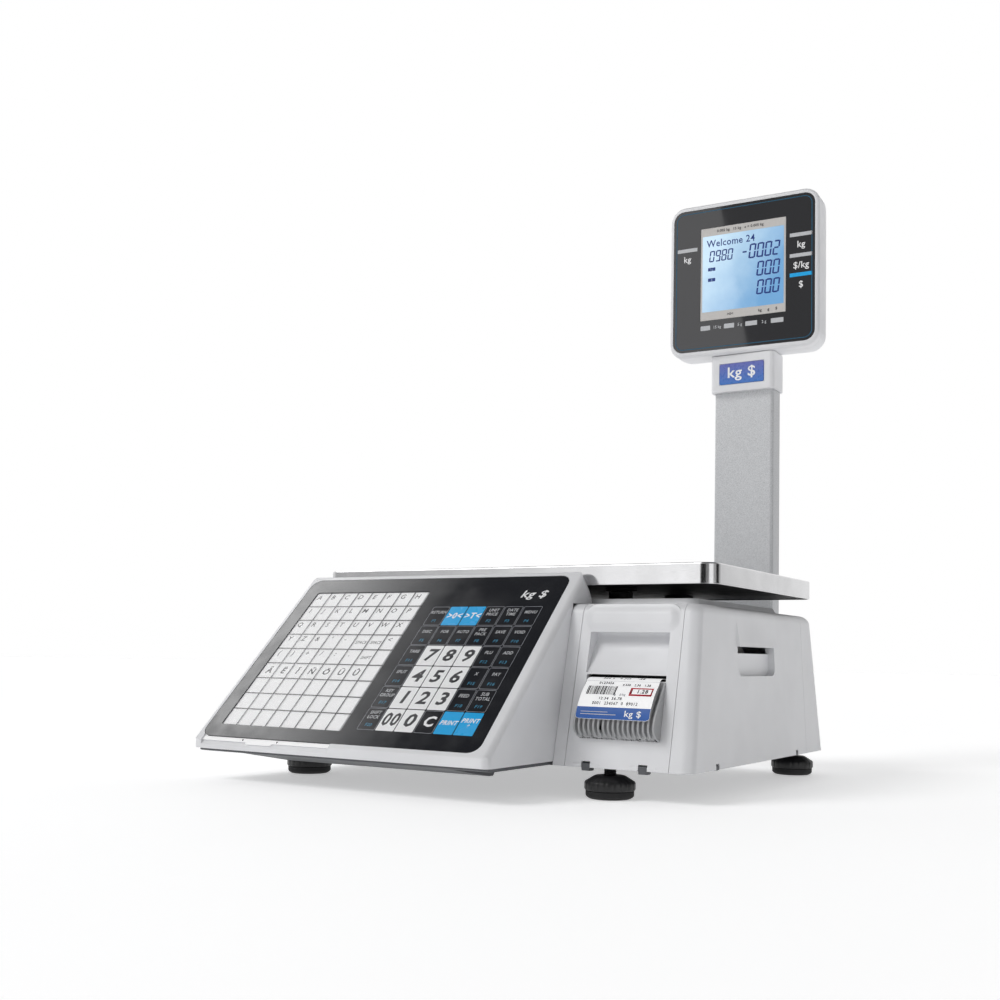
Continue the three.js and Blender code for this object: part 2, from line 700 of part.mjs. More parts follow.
// the three gears: each phase puts a gap of the next gear over a tooth of the one before
function gearTrain() {
  const step = (a, b, angle) => {
    const distance = ((a + b) * MODULE) / 2;
    return [distance * Math.cos(angle), distance * Math.sin(angle)];
  };
  const toIdler = THREE.MathUtils.degToRad(-50);
  const toPinion = THREE.MathUtils.degToRad(-70);
  const first = step(GEARS.platen, GEARS.idler, toIdler);
  const idlerAt = [PLATEN.y + first[0], PLATEN.z + first[1]];
  const second = step(GEARS.idler, GEARS.pinion, toPinion);
  const pinionAt = [idlerAt[0] + second[0], idlerAt[1] + second[1]];
  const idlerPhase = toIdler + Math.PI + Math.PI / GEARS.idler;
  const pinionPhase = toPinion + Math.PI + Math.PI / GEARS.pinion
    + ((toPinion - idlerPhase) * GEARS.idler) / GEARS.pinion;
  return {
    platen: { at: [PLATEN.y, PLATEN.z], teeth: GEARS.platen, phase: toIdler },
    idler: { at: idlerAt, teeth: GEARS.idler, phase: idlerPhase },
    pinion: { at: pinionAt, teeth: GEARS.pinion, phase: pinionPhase },
  };
}
const train = gearTrain();

function gear({ at, teeth, phase }, bore) {
  const wheel = prismX(gearOutline(teeth, phase), GEARS.x).translate([0, at[0], at[1]]);
  return wheel.subtract(rod('x', bore, [80, 120], at, 20));
}

function printerChassis() {
  const plate = (x, low) => prismX([[-112.5, low], [-60, low], [-60, 126], [-112.5, 126]], x);
  const left = join(
    plate(CHASSIS.left, 27),
    prismX(rounded(rectangle([-62, 112], [27, 118.5]), [0, 0, 20, 0]), CHASSIS.left),
    box([94, 112], [-40, 100], [27, 29]).add(box([93, 95], [-40, 100], [27, 29])),
  );
  const bars = join(
    box([93, 182], [-68, -62], [30, 34]),
    box([93, 182], [-66, -61], [122, 126]),
  );
  const idlerStud = rod('x', 2.9, [93, 101.5], train.idler.at, 16);
  const spoolAxle = rod('x', 2.9, [93, 178], [SPOOL.y, SPOOL.z], 16);
  const holes = [
    rod('x', PLATEN.shaft + 0.08, [80, 200], [PLATEN.y, PLATEN.z]),
    rod('x', HEAD_PIVOT.pin + 0.08, [80, 200], [HEAD_PIVOT.y, HEAD_PIVOT.z], 20),
    rod('x', 6.5, [80, 98], train.pinion.at),
    rod('x', 3.08, [170, 200], [LEVER.y, LEVER.z], 20),
    rod('x', 9.2, [80, 100], [ROLL.y, ROLL.z]),
  ];
  return join(cut(join(left, plate(CHASSIS.right, 30), bars), ...holes), idlerStud, spoolAxle);
}

function platenRoller() {
  const at = [PLATEN.y, PLATEN.z];
  return join(
    rod('x', PLATEN.radius, [104, 178], at, 32),
    rod('x', PLATEN.shaft, [91, 184], at),
  );
}

function printHead() {
  const side = [[-108, 94.8], [-94, 94.8], [-66, 107], [-66, 116], [-78, 116], [-96, 107.5], [-108, 106]];
  const arm = (x) => prismX(rounded(side, [0, 0, 4, 4, 0, 0, 0], 3), x);
  const bar = box([104, 178], [-108, -93], [94.8, 106]);
  const fins = [];
  for (let i = 0; i < 5; i += 1) {
    fins.push(box([103, 179], [-106.6 + i * 2.8, -105.2 + i * 2.8], [101, 108]));
  }
  const ends = join(arm([104, 107]), arm([175, 178]));
  const spans = [[91.5, 106], [176, 183.6]];
  const pins = spans.map((x) => rod('x', HEAD_PIVOT.pin, x, [HEAD_PIVOT.y, HEAD_PIVOT.z], 20));
  return join(cut(bar, ...fins), ends, ...pins);
}

function headLever() {
  const hub = rod('x', 6, LEVER.x, [LEVER.y, LEVER.z]);
  const side = [[-93, 116], [-87, 116], [-85, 134], [-91, 134]];
  const stem = prismX(rounded(side, 1, 2), [184.6, 187.6]);
  const grip = prismX(rounded(rectangle([-93.5, -82.5], [130, 138]), 2.5, 3), [183.8, 191]);
  const pin = rod('x', 3, [179.6, 186], [LEVER.y, LEVER.z], 20);
  return join(hub, stem, grip, pin);
}

function stepperMotor() {
  const at = train.pinion.at;
  const can = rod('x', 17.5, [64, 90.6], at, 32);
  const flange = box([89.2, 91.6], [at[0] - 22, at[0] + 22], [at[1] - 8, at[1] + 8]);
  return join(can, flange, rod('x', 5.5, [91, 94.2], at, 20));
}

function motorPinion() {
  const at = train.pinion.at;
  return join(gear(train.pinion, 0.9), rod('x', 1.6, [94.5, 102], at, 16));
}

function labelRoll() {
  const at = [ROLL.y, ROLL.z];
  return rod('x', ROLL.outer, ROLL.x, at, 40).subtract(rod('x', ROLL.core, [100, 180], at, 32));
}

function rollSpindle() {
  const at = [ROLL.y, ROLL.z];
  return join(
    rod('x', 18.4, [104, 170], at, 32),
    rod('x', 9, [90.6, 105], at),
    rod('x', 30, [102, 105], at, 32),
  );
}

function rollGuide() {
  const at = [ROLL.y, ROLL.z];
  const disc = rod('x', 30, [172, 174.4], at, 32);
  const hub = rod('x', 12, [170.3, 174.4], at, 24);
  return cut(join(disc, hub), rod('x', 9, [160, 200], at));
}

function rewindSpool() {
  const at = [SPOOL.y, SPOOL.z];
  const start = SPOOL.x[0];
  const core = rod('x', SPOOL.radius, SPOOL.x, at, 24);
  const flange = rod('x', 17, [start - 2.5, start], at, 28);
  const bore = rod('x', 3, [80, 200], at, 16);
  const paperSlit = box([start + 6, 200], [SPOOL.y - 1, SPOOL.y + 1], [SPOOL.z + 8, SPOOL.z + 30]);
  return cut(join(core, flange), bore, paperSlit);
}

// ---------------------------------------------------------------- pole and display head
function poleTube() {
  const { x, y, width, depth, wall, z, radius } = POLE;
  const ring = (inset) => {
    const across = [x - width / 2 + inset, x + width / 2 - inset];
    const along = [y - depth / 2 + inset, y + depth / 2 - inset];
    return rounded(rectangle(across, along), radius - inset / 2);
  };
  return prismZ(ring(0), z).subtract(prismZ(ring(wall), [0, 500]));
}

function poleBracket() {
  const outer = prismZ(rounded(rectangle([POLE.x - 36, POLE.x + 36], [190.6, 222]), 5), [44, 122]);
  const seat = (z) => [between(BODY.rear, z) + GAP, z];
  const wedge = [[192, 44], [192, 122], seat(122), seat(44)];
  const inner = rectangle([POLE.x - 32.05, POLE.x + 32.05], [POLE.y - 11.95, POLE.y + 11.95]);
  return cut(join(outer, prismX(wedge, [POLE.x - 28, POLE.x + 28])), prismZ(inner, [50, 200]));
}

function headCollar() {
  const { halfWidth, y, z, spindle } = COLLAR;
  const body = prismZ(rounded(rectangle([POLE.x - halfWidth, POLE.x + halfWidth], y), 4), z);
  const inner = rectangle([POLE.x - 32.1, POLE.x + 32.1], [POLE.y - 12, POLE.y + 12]);
  const neck = rod('z', spindle, [z[1] - 1, 436], [POLE.x, POLE.y]);
  const bore = rod('z', spindle - 2.4, [400, 450], [POLE.x, POLE.y]);
  const seat = box([POLE.x - 24.3, POLE.x + 24.3], [y[0] - 1, y[0] + 1], [391.4, 413.6]);
  return cut(join(body, neck), prismZ(inner, [300, 410]), bore, seat);
}

function collarBadge() {
  const plate = rounded(rectangle([POLE.x - 24, POLE.x + 24], [391.7, 413.3]), 1.5, 2);
  return prismY(plate, [COLLAR.y[0] - 0.4, COLLAR.y[0] + 0.7]);
}

const headGroup = new THREE.Group();
headGroup.position.set(HEAD.x, HEAD.y, 0);
headGroup.rotation.z = HEAD.turn;
scale.add(headGroup);

// ring of the head's section, at a depth v behind its front face
function headRing(v, inset) {
  const half = HEAD.width / 2 - inset;
  const radius = Math.max(HEAD.radius - inset / 2, 3);
  return rounded(rectangle([-half, half], [HEAD.z[0] + inset, HEAD.z[1] - inset]), radius, 5)
    .map(([a, b]) => [a, v, b]);
}

function panel(width, height, middle, radius, depth) {
  const outline = rectangle([-width / 2, width / 2], [middle - height / 2, middle + height / 2]);
  return prismY(rounded(outline, radius), depth);
}

function headFrontShell() {
  const { split, wall } = HEAD;
  const outer = loft([headRing(split, 0), headRing(3, 0), headRing(0.8, 0.8), headRing(0, 2.6)]);
  const hollow = loft([headRing(split + 1, wall), headRing(5, wall)]);
  const { width, height, middle, radius } = SCREEN;
  const recess = panel(width + 0.6, height + 0.6, middle, radius, [-1, 2.4]);
  const opening = panel(LCD.width + 2, LCD.height + 2, LCD.middle, 0, [-1, 8]);
  return cut(outer, hollow, recess, opening);
}

function headRearShell() {
  const { split, depth, wall } = HEAD;
  const form = (inset) => loft([
    headRing(depth - inset, 15 + inset * 0.6),
    headRing(depth - 3 - inset, 8.5 + inset),
    headRing(depth - 9 - inset, 3 + inset),
    headRing(depth - 17 - inset, 0.6 + inset),
    headRing(depth - 24, inset),
    headRing(inset ? split - 2 : split + GAP, inset),
  ]);
  const pivot = new THREE.Vector2(POLE.x - HEAD.x, POLE.y - HEAD.y);
  pivot.rotateAround(new THREE.Vector2(), -HEAD.turn);
  const hole = rod('z', COLLAR.spindle + 0.5, [400, 440], pivot.toArray());
  const { width, height, radius } = BACK_SCREEN;
  const recess = panel(width + 0.6, height + 0.6, SCREEN.middle, radius, [depth - 2.4, depth + 5]);
  const opening = panel(LCD.width + 2, BACK_LCD_HEIGHT + 2, SCREEN.middle, 0, [depth - 12, depth + 5]);
  return cut(form(0), form(wall), hole, recess, opening);
}

function displayWindow({ width, height, radius }, depth) {
  return panel(width, height, SCREEN.middle, radius, depth);
}

function lcdModule(front, height, middle) {
  const glass = panel(LCD.width, height, middle, 0, [front, front + 3]);
  const frame = panel(LCD.width + 8, height + 8, middle, 0, [front + 2.4, front + 7]);
  return join(glass, frame);
}

// ---------------------------------------------------------------- feet
function foot(name, [x, y]) {
  const { sole: reach, radius, neck, soleTop, wheelTop, stud: thread, studTop } = FOOT;
  const low = soleTop + GAP;
  const sole = lathe([[0, 0], [reach - 2.4, 0], [reach, 2.4], [reach, soleTop], [0, soleTop]]);
  const wheel = lathe([
    [0, low],
    [radius - 0.8, low],
    [radius, low + 1.1],
    [radius, wheelTop - 5.3],
    [neck, wheelTop],
    [0, wheelTop],
  ]);
  const stud = rod('z', thread, [wheelTop - 1, studTop], [0, 0], 16);
  add(`foot_sole_${name}`, sole.translate([x, y, 0]), paint.rubber);
  add(`foot_wheel_${name}`, join(wheel, stud).translate([x, y, 0]), paint.black);
}

// ---------------------------------------------------------------- assembly
add('base_pan', basePan(), paint.underside);
add('console_housing', consoleHousing(), paint.shell);
add('console_bottom', consoleBottom(), paint.underside);
add('keypad_overlay', keypadOverlay(), paint.overlay, keyGroup);
add('key_sheet', keySheet(), paint.paper, keyGroup);
add('key_membrane', keyMembrane(), paint.nylon, keyGroup);
add('keypad_board', keypadBoard(), paint.board, keyGroup);
add('top_cover', topCover(), paint.shell);
add('rear_cover', rearCover(), paint.shell);
add('port_panel', portPanel(), paint.zinc);
add('power_inlet', powerInlet(), paint.black);
add('power_rocker', powerRocker(), paint.black);
add('side_door', sideDoor(), paint.shell);
add('printer_door', printerDoor(), paint.shell);
add('peel_comb', peelComb(), paint.grey);
add('issued_label', issuedLabel(), paint.paper);

add('chassis_plate', box([-124, 78], [-60, 118], [26, 30]), paint.zinc);
const cellFoot = box([CELL.x[0], -41], [CELL.y - 17, CELL.y + 17], [30 + GAP, CELL.z[0] - GAP]);
add('cell_block', cellFoot, paint.zinc);
add('load_cell', loadCell(), paint.aluminium);
add('tray_spider', traySpider(), paint.zinc);
posts().forEach((at, i) => add(`tray_cup_${i + 1}`, trayCup(at), paint.rubber));
add('platter', platter(), paint.steel);
add('sub_tray', subTray(), paint.black);
add('spirit_level', rod('z', 9, [PLATEAU.top - 2.8, PLATEAU.top + 1.2], LEVEL), paint.vial);
add('main_board', mainBoard(), paint.board);
add('power_supply', powerSupply(), paint.zinc);

add('printer_chassis', printerChassis(), paint.zinc);
add('platen_roller', platenRoller(), paint.rubber);
add('platen_gear', gear(train.platen, PLATEN.shaft + 0.1), paint.nylon);
add('idler_gear', gear(train.idler, 3), paint.nylon);
add('motor_pinion', motorPinion(), paint.brass);
add('stepper_motor', stepperMotor(), paint.zinc);
add('print_head', printHead(), paint.aluminium);
add('head_lever', headLever(), paint.lever);
add('label_roll', labelRoll(), paint.paper);
add('roll_spindle', rollSpindle(), paint.black);
add('roll_guide', rollGuide(), paint.black);
add('rewind_spool', rewindSpool(), paint.black);

add('pole_bracket', poleBracket(), paint.shell);
add('pole_tube', poleTube(), paint.pole);
add('head_collar', headCollar(), paint.shell);
add('collar_badge', collarBadge(), paint.badge);
add('head_front_shell', headFrontShell(), paint.shell, headGroup);
add('head_rear_shell', headRearShell(), paint.shell, headGroup);
add('display_window', displayWindow(SCREEN, [0.2, 2.1]), paint.screen, headGroup);
add('display_lcd', lcdModule(3, LCD.height, LCD.middle), paint.lcd, headGroup);
const backLcd = lcdModule(3 - HEAD.depth, BACK_LCD_HEIGHT, SCREEN.middle).rotate([0, 0, 180]);
const backWindow = displayWindow(BACK_SCREEN, [HEAD.depth - 2.1, HEAD.depth - 0.2]);
add('customer_window', backWindow, paint.screen, headGroup);
add('customer_lcd', backLcd, paint.lcd, headGroup);
add('display_board', panel(120, 130, SCREEN.middle, 0, [15, 16.6]), paint.board, headGroup);

for (const [name, at] of Object.entries(FEET)) {
  foot(name, at);
}

export default scale;
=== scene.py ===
"""Retail price scale: the looks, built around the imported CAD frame.

Lengths in this script are millimetres unless a comment says otherwise; piece() turns them into metres.
"""

import json
import math
import random

import bmesh
import bpy
from mathutils import Matrix, Vector


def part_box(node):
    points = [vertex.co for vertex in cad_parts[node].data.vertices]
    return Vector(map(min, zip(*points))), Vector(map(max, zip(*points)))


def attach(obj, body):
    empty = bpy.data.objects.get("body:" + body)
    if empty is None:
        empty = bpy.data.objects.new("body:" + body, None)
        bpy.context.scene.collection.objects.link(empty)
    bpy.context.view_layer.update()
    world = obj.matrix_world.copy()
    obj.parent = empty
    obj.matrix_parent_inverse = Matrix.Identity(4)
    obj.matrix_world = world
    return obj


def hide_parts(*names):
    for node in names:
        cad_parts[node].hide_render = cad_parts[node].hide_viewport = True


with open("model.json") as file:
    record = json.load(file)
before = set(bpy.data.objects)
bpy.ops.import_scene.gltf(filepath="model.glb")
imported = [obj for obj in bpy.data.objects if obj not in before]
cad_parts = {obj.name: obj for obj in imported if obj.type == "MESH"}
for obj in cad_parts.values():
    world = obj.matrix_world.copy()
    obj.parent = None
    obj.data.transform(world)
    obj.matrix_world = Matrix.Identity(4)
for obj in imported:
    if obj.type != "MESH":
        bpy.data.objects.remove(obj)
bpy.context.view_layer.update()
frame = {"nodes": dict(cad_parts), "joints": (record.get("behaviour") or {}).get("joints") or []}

MM = 0.001
QUARTER = 8  # steps in a quarter round
WALL = 3.0
SEAM = 0.2  # half of the gap between neighbouring covers
TOUCH = 0.3  # air between fitted pieces
FAR = 300  # well past the part, for shapes that only cut
ALL_Z = (0, 200)  # the full height of the housing and more
random.seed(7)


def node_box(name):
    low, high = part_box(name)
    return low / MM, high / MM


def centre(name):
    low, high = node_box(name)
    return tuple((a + b) / 2 for a, b in zip(low, high))


def spans(name):
    """A node's extent along x, y and z, each as (low, high)."""
    return tuple(zip(*node_box(name)))


def grown(span, by=TOUCH):
    return (span[0] - by, span[1] + by)


def fill(tree, node, inputs):
    """Sets a node's inputs; one that is given as another node's socket is linked."""
    for socket, value in inputs.items():
        if isinstance(value, bpy.types.NodeSocket):
            tree.links.new(value, node.inputs[socket])
        else:
            node.inputs[socket].default_value = value


def add_node(tree, kind, inputs=None, **settings):
    node = tree.nodes.new(kind)
    for name, value in settings.items():
        setattr(node, name, value)
    fill(tree, node, inputs or {})
    return node


def limits(start, end, low, high):
    return {"From Min": start, "From Max": end, "To Min": low, "To Max": high}


# ---- camera, floor and lights
CAMERA = {
    "place": (546.4, -936.4, 106.0),
    "forward": (-0.5005, 0.8625, 0.0747),
    "roll": 1.12,
    "lens": 42.25,
    "shift": (-0.053, 0.0698),
}
WORLD = (  # axis, where the fade starts and ends, brightness before and after
    ("Z", 0.52, 0.82, 1.0, 0.15),
    ("X", 0.15, 0.75, 1.0, 0.45),
    ("Y", -0.9, 0.2, 0.4, 1.0),
)


def add_camera():
    data = bpy.data.cameras.new("camera")
    data.lens = CAMERA["lens"]
    data.shift_x, data.shift_y = CAMERA["shift"]
    data.clip_end = 50
    camera = bpy.data.objects.new("camera", data)
    bpy.context.scene.collection.objects.link(camera)
    aim = Vector(CAMERA["forward"]).to_track_quat("-Z", "Y").to_matrix().to_4x4()
    roll = Matrix.Rotation(math.radians(CAMERA["roll"]), 4, "Z")
    camera.matrix_world = Matrix.Translation(Vector(CAMERA["place"]) * MM) @ aim @ roll
    bpy.context.scene.camera = camera


def add_floor():
    bpy.ops.mesh.primitive_circle_add(vertices=96, radius=14, fill_type="NGON", location=(0, 0, -0.0002))
    floor = bpy.context.object
    floor.name = "floor"
    look = Look("floor", (0.92, 0.92, 0.925), 0.75)
    look.glow((1, 1, 1), 0.42)
    look.vary_roughness(look.noise(3), 0.7, 0.8)
    floor.data.materials.append(look.material)


def facing(direction):
    return Vector(direction).to_track_quat("Z", "Y").to_matrix().to_4x4()


def add_card(place, turn, size, look):
    """A flat card that only shows in reflections; size is in metres."""
    bpy.ops.mesh.primitive_plane_add(size=1)
    card = bpy.context.object
    card.name = look.material.name
    card.matrix_world = Matrix.Translation(Vector(place) * MM) @ turn @ Matrix.Diagonal((*size, 1, 1))
    card.data.materials.append(look.material)
    for ray in ("camera", "diffuse", "shadow", "transmission", "volume_scatter"):
        setattr(card, f"visible_{ray}", False)


def add_glow(name, place, turn, size, near, far=None, fade=(-0.5, 0.5)):
    """A bright card; its brightness goes from near to far along its own X, over the stretch called fade."""
    look = Look(name, (0, 0, 0), 1.0, Specular_IOR_Level=0.0)
    look.glow((1, 1, 1), near)
    strength = look.ranged(look.split()["X"], near, near if far is None else far, *fade)
    look.set(Emission_Strength=strength)
    add_card(place, turn, size, look)


def add_flag(name, place, direction, size):
    add_card(place, facing(direction), size, Look(name, (0.01, 0.01, 0.01), 0.9, Specular_IOR_Level=0.0))


def add_sun(direction, strength, spread):
    data = bpy.data.lights.new("sun", "SUN")
    data.energy = strength
    data.angle = math.radians(spread)
    sun = bpy.data.objects.new("sun", data)
    bpy.context.scene.collection.objects.link(sun)
    sun.rotation_euler = Vector(direction).to_track_quat("-Z", "Y").to_euler()


def add_world():
    """White all round the horizon, darker overhead, behind the camera and on the printer's side."""
    world = bpy.data.worlds.new("studio")
    bpy.context.scene.world = world
    world.use_nodes = True
    tree = world.node_tree
    tree.nodes.clear()
    where = add_node(tree, "ShaderNodeTexCoord").outputs["Generated"]
    place = add_node(tree, "ShaderNodeSeparateXYZ", {0: where}).outputs
    strength = 1.0
    for axis, *stretch in WORLD:
        inputs = {"Value": place[axis], **limits(*stretch)}
        fade = add_node(tree, "ShaderNodeMapRange", inputs, interpolation_type="SMOOTHSTEP").outputs[0]
        strength = add_node(tree, "ShaderNodeMath", {0: fade, 1: strength}, operation="MULTIPLY").outputs[0]
    background = add_node(tree, "ShaderNodeBackground", {"Color": (1, 1, 1, 1), "Strength": strength})
    add_node(tree, "ShaderNodeOutputWorld", {0: background.outputs[0]})


# ---- materials
class Look:
    """A Principled material with procedural variation in the part's own coordinates (metres)."""

    def __init__(self, name, color, roughness, **sockets):
        self.material = bpy.data.materials.new(name)
        self.material.use_nodes = True
        self.tree = self.material.node_tree
        self.shader = next(n for n in self.tree.nodes if n.type == "BSDF_PRINCIPLED")
        self.color = (*color, 1)
        self.set(Base_Color=self.color, Roughness=roughness, **sockets)
        self.where = self.node("TexCoord").outputs["Object"]

    def set(self, **sockets):
        fill(self.tree, self.shader, {name.replace("_", " "): value for name, value in sockets.items()})

    def node(self, kind, inputs=None, **settings):
        return add_node(self.tree, f"ShaderNode{kind}", inputs, **settings)

    def noise(self, scale, detail=3.0, stretch=None):
        where = self.where
        if stretch:
            where = self.node("Mapping", {"Scale": stretch, "Vector": where}).outputs[0]
        return self.node("TexNoise", {"Scale": scale, "Detail": detail, "Vector": where}).outputs["Fac"]

    def split(self):
        return self.node("SeparateXYZ", {0: self.where}).outputs

    def ranged(self, source, low, high, start=0.35, end=0.65):
        return self.node("MapRange", {"Value": source, **limits(start, end, low, high)}).outputs[0]

    def mixed(self, first, second, share):
        inputs = {"A": first, "B": second, "Factor": share}
        return self.node("Mix", inputs, data_type="RGBA").outputs["Result"]

    def glow(self, color, strength):
        self.set(Emission_Color=(*color, 1), Emission_Strength=strength)

    def vary_roughness(self, source, low, high):
        self.set(Roughness=self.ranged(source, low, high))

    def vary_color(self, source, other, start=0.35, end=0.65, over=None):
        first = self.color if over is None else over
        result = self.mixed(first, (*other, 1), self.ranged(source, 0, 1, start, end))
        self.set(Base_Color=result)
        return result

    def bump(self, source, strength, depth):
        inputs = {"Strength": strength, "Distance": depth * MM, "Height": source}
        self.set(Normal=self.node("Bump", inputs).outputs[0])


def surface(name, color, roughness, rough=None, tint=None, grain=None, **sockets):
    """A look that follows noise. Each of the three starts with the noise's scale and detail: rough goes on
    with the lowest and highest roughness, tint with the other colour, grain with strength and depth."""
    look = Look(name, color, roughness, **sockets)
    for vary, values in ((look.vary_roughness, rough), (look.vary_color, tint), (look.bump, grain)):
        if values:
            vary(look.noise(*values[:2]), *values[2:])
    return look.material


def dimmed(color, share):
    return tuple(c * share for c in color)


def moulded(name, color, roughness, grain=0.25, tint=0.93, scale=1400, **sockets):
    """Injection-moulded plastic: fine spark texture, faint clouding."""
    rough, clouds = (60, 4, roughness - 0.05, roughness + 0.05), (14, 4, dimmed(color, tint))
    return surface(name, color, roughness, rough, clouds, (scale, 2, grain, 0.05), **sockets)


def printed(name, color, roughness):
    """Ink under a clear polyester film."""
    rough = (45, 3, roughness - 0.05, roughness + 0.05)
    tint, grain = (500, 2, dimmed(color, 0.96)), (260, 2, 0.06, 0.04)
    return surface(name, color, roughness, rough, tint, grain, Specular_IOR_Level=0.35)


def metal(name, color, roughness, stretch=None, scale=500, depth=0.03, anisotropic=0.0):
    look = Look(name, color, roughness, Metallic=1.0, Anisotropic=anisotropic)
    grain = look.noise(scale, 3, stretch)
    look.vary_roughness(grain, roughness * 0.7, roughness * 1.35)
    look.vary_color(look.noise(25, 4), dimmed(color, 0.9))
    look.bump(grain, 0.3, depth)
    return look.material


def roll_look():
    """A wound roll: plain paper with the edges of its turns showing as fine rings on the ends."""
    look = Look("paper_roll", (0.9, 0.9, 0.88), 0.65)
    low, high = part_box("label_roll")
    place = look.node("Mapping", {"Location": -(low + high) / 2, "Vector": look.where}).outputs[0]
    inputs = {"Scale": 900, "Distortion": 1.2, "Vector": place}
    rings = look.node("TexWave", inputs, wave_type="RINGS", rings_direction="X").outputs["Fac"]
    look.vary_color(rings, (0.74, 0.73, 0.70), 0.2, 0.8)
    look.bump(rings, 0.35, 0.06)
    return look.material


def lcd_look():
    """Back light of the display: pale towards the lamp's side, deeper blue away from it."""
    look = Look("display_blue", (0.25, 0.55, 0.9), 0.06, Coat_Weight=1.0)
    low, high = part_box("display_lcd")
    place = look.split()
    across = look.ranged(place["X"], 0, 1, low.x, high.x)
    up = look.ranged(place["Z"], 0.35, -0.35, low.z, high.z)
    slope = look.node("Math", {0: across, 1: up}, operation="ADD").outputs[0]
    blotchy = look.node("Math", {0: look.noise(60, 3), 1: 0.35, 2: slope}, operation="MULTIPLY_ADD")
    share = look.ranged(blotchy.outputs[0], 0, 1, 0.2, 1.1)
    light = look.mixed((0.52, 0.70, 0.84, 1), (0.14, 0.34, 0.60, 1), share)
    look.set(Base_Color=light, Emission_Color=light, Emission_Strength=0.36)
    look.bump(look.noise(1800, 1), 0.03, 0.01)
    return look.material


def badge_look():
    look = Look("badge_blue", (0.035, 0.17, 0.55), 0.3)
    low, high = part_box("collar_badge")
    upward = look.ranged(look.split()["Z"], 0, 1, low.z, high.z)
    look.vary_color(upward, (0.12, 0.14, 0.46), 0, 1)
    look.vary_roughness(look.noise(300), 0.24, 0.36)
    look.bump(look.noise(800, 2), 0.1, 0.03)
    return look.material


def pole_look():
    """Metallic paint: light grey with fine bright and dark flake."""
    look = Look("pole_paint", (0.62, 0.63, 0.645), 0.42, Metallic=0.25)
    speck = look.noise(1500, 5)
    first = look.vary_color(speck, (0.44, 0.45, 0.465), 0.42, 0.62)
    look.vary_color(look.noise(2600, 3), (0.78, 0.785, 0.80), 0.58, 0.66, first)
    look.vary_roughness(speck, 0.34, 0.52)
    look.bump(speck, 0.25, 0.05)
    return look.material


def board_look():
    """Solder mask over copper, with the traces showing faintly through it."""
    look = Look("solder_mask", (0.02, 0.16, 0.07), 0.3)
    traces = look.node("TexBrick", {"Scale": 120, "Mortar Size": 0.03, "Vector": look.where}).outputs["Fac"]
    look.vary_color(traces, (0.05, 0.26, 0.12), 0, 1)
    look.vary_roughness(look.noise(200), 0.25, 0.4)
    look.bump(traces, 0.2, 0.05)
    return look.material


INKS = {  # colour and roughness
    "overlay": ((0.010, 0.011, 0.015), 0.16),
    "white_ink": ((0.93, 0.93, 0.94), 0.3),
    "blue_ink": ((0.012, 0.42, 0.86), 0.25),
    "black_ink": ((0.02, 0.02, 0.025), 0.3),
    "grey_ink": ((0.30, 0.31, 0.34), 0.3),
    "teal_ink": ((0.03, 0.22, 0.36), 0.3),
    "deep_teal_ink": ((0.012, 0.10, 0.18), 0.3),
    "bezel_ink": ((0.60, 0.58, 0.56), 0.35),
    "red_ink": ((0.55, 0.03, 0.05), 0.35),
    "silver_ink": ((0.56, 0.57, 0.59), 0.3),
    "label_blue": ((0.008, 0.095, 0.40), 0.45),
    "lcd_ink": ((0.02, 0.05, 0.25), 0.3),
}
PAPER = (0.94, 0.94, 0.945)
LOOKS = {
    **{name: printed(name, *values) for name, values in INKS.items()},
    "shell": moulded("shell", (0.80, 0.805, 0.825), 0.40, grain=0.16),
    # Dark grey; on the console's bottom, which is light grey plastic, this colour is painted shade.
    "underside": moulded("underside", (0.10, 0.105, 0.115), 0.5, tint=0.85),
    # The paper also glows faintly (emission 0.22): painted light that brightens the labels, the key card and
    # the web.
    "paper": surface("paper", PAPER, 0.62, (300, 3, 0.55, 0.7), (900, 4, dimmed(PAPER, 0.95)),
                     (2200, 4, 0.25, 0.03), Specular_IOR_Level=0.3, Emission_Color=(*PAPER, 1),
                     Emission_Strength=0.22),
    "roll": roll_look(),
    "steel": metal("steel", (0.72, 0.72, 0.73), 0.16, (2, 60, 60), 60, 0.01, 0.4),
    "zinc": metal("zinc", (0.58, 0.59, 0.62), 0.42),
    "screw": metal("screw", (0.45, 0.46, 0.48), 0.35),
    "aluminium": metal("aluminium", (0.68, 0.69, 0.71), 0.34, (3, 60, 60), 80, 0.02),
    "brass": metal("brass", (0.68, 0.50, 0.20), 0.32),
    "black": moulded("black_plastic", (0.022, 0.022, 0.025), 0.48, tint=0.8),
    "rubber": moulded("rubber", (0.012, 0.012, 0.013), 0.72, grain=0.5, tint=0.8),
    "foot": moulded("foot_plastic", (0.010, 0.010, 0.011), 0.38, tint=0.8, scale=900),
    "tray_black": moulded("tray_black", (0.012, 0.012, 0.014), 0.6, tint=0.8, Specular_IOR_Level=0.12),
    "pole": pole_look(),
    "screen": surface("dark_window", (0.004, 0.0045, 0.007), 0.08, (40, 3, 0.03, 0.06),
                      (9, 3, (0.006, 0.006, 0.010)), (30, 2, 0.03, 0.05), Specular_IOR_Level=0.95),
    "lcd": lcd_look(),
    "badge": badge_look(),
    "comb": moulded("comb", (0.40, 0.405, 0.415), 0.5, tint=0.9),
    "lever": moulded("lever", (0.03, 0.30, 0.11), 0.38),
    "nylon": moulded("nylon", (0.80, 0.78, 0.68), 0.42),
    "board": board_look(),
    "vial": surface("vial_liquid", (0.62, 0.74, 0.10), 0.06, None, (150, 3, (0.55, 0.68, 0.08)),
                    (200, 3, 0.04, 0.03), Coat_Weight=1.0),
    "film": surface("clear_film", (0.3, 0.3, 0.32), 0.14, (40, 3, 0.1, 0.18), None, (60, 2, 0.05, 0.05),
                    Alpha=0.05),
}


# ---- solids
def link(mesh):
    obj = bpy.data.objects.new(mesh.name, mesh)
    bpy.context.scene.collection.objects.link(obj)
    return obj


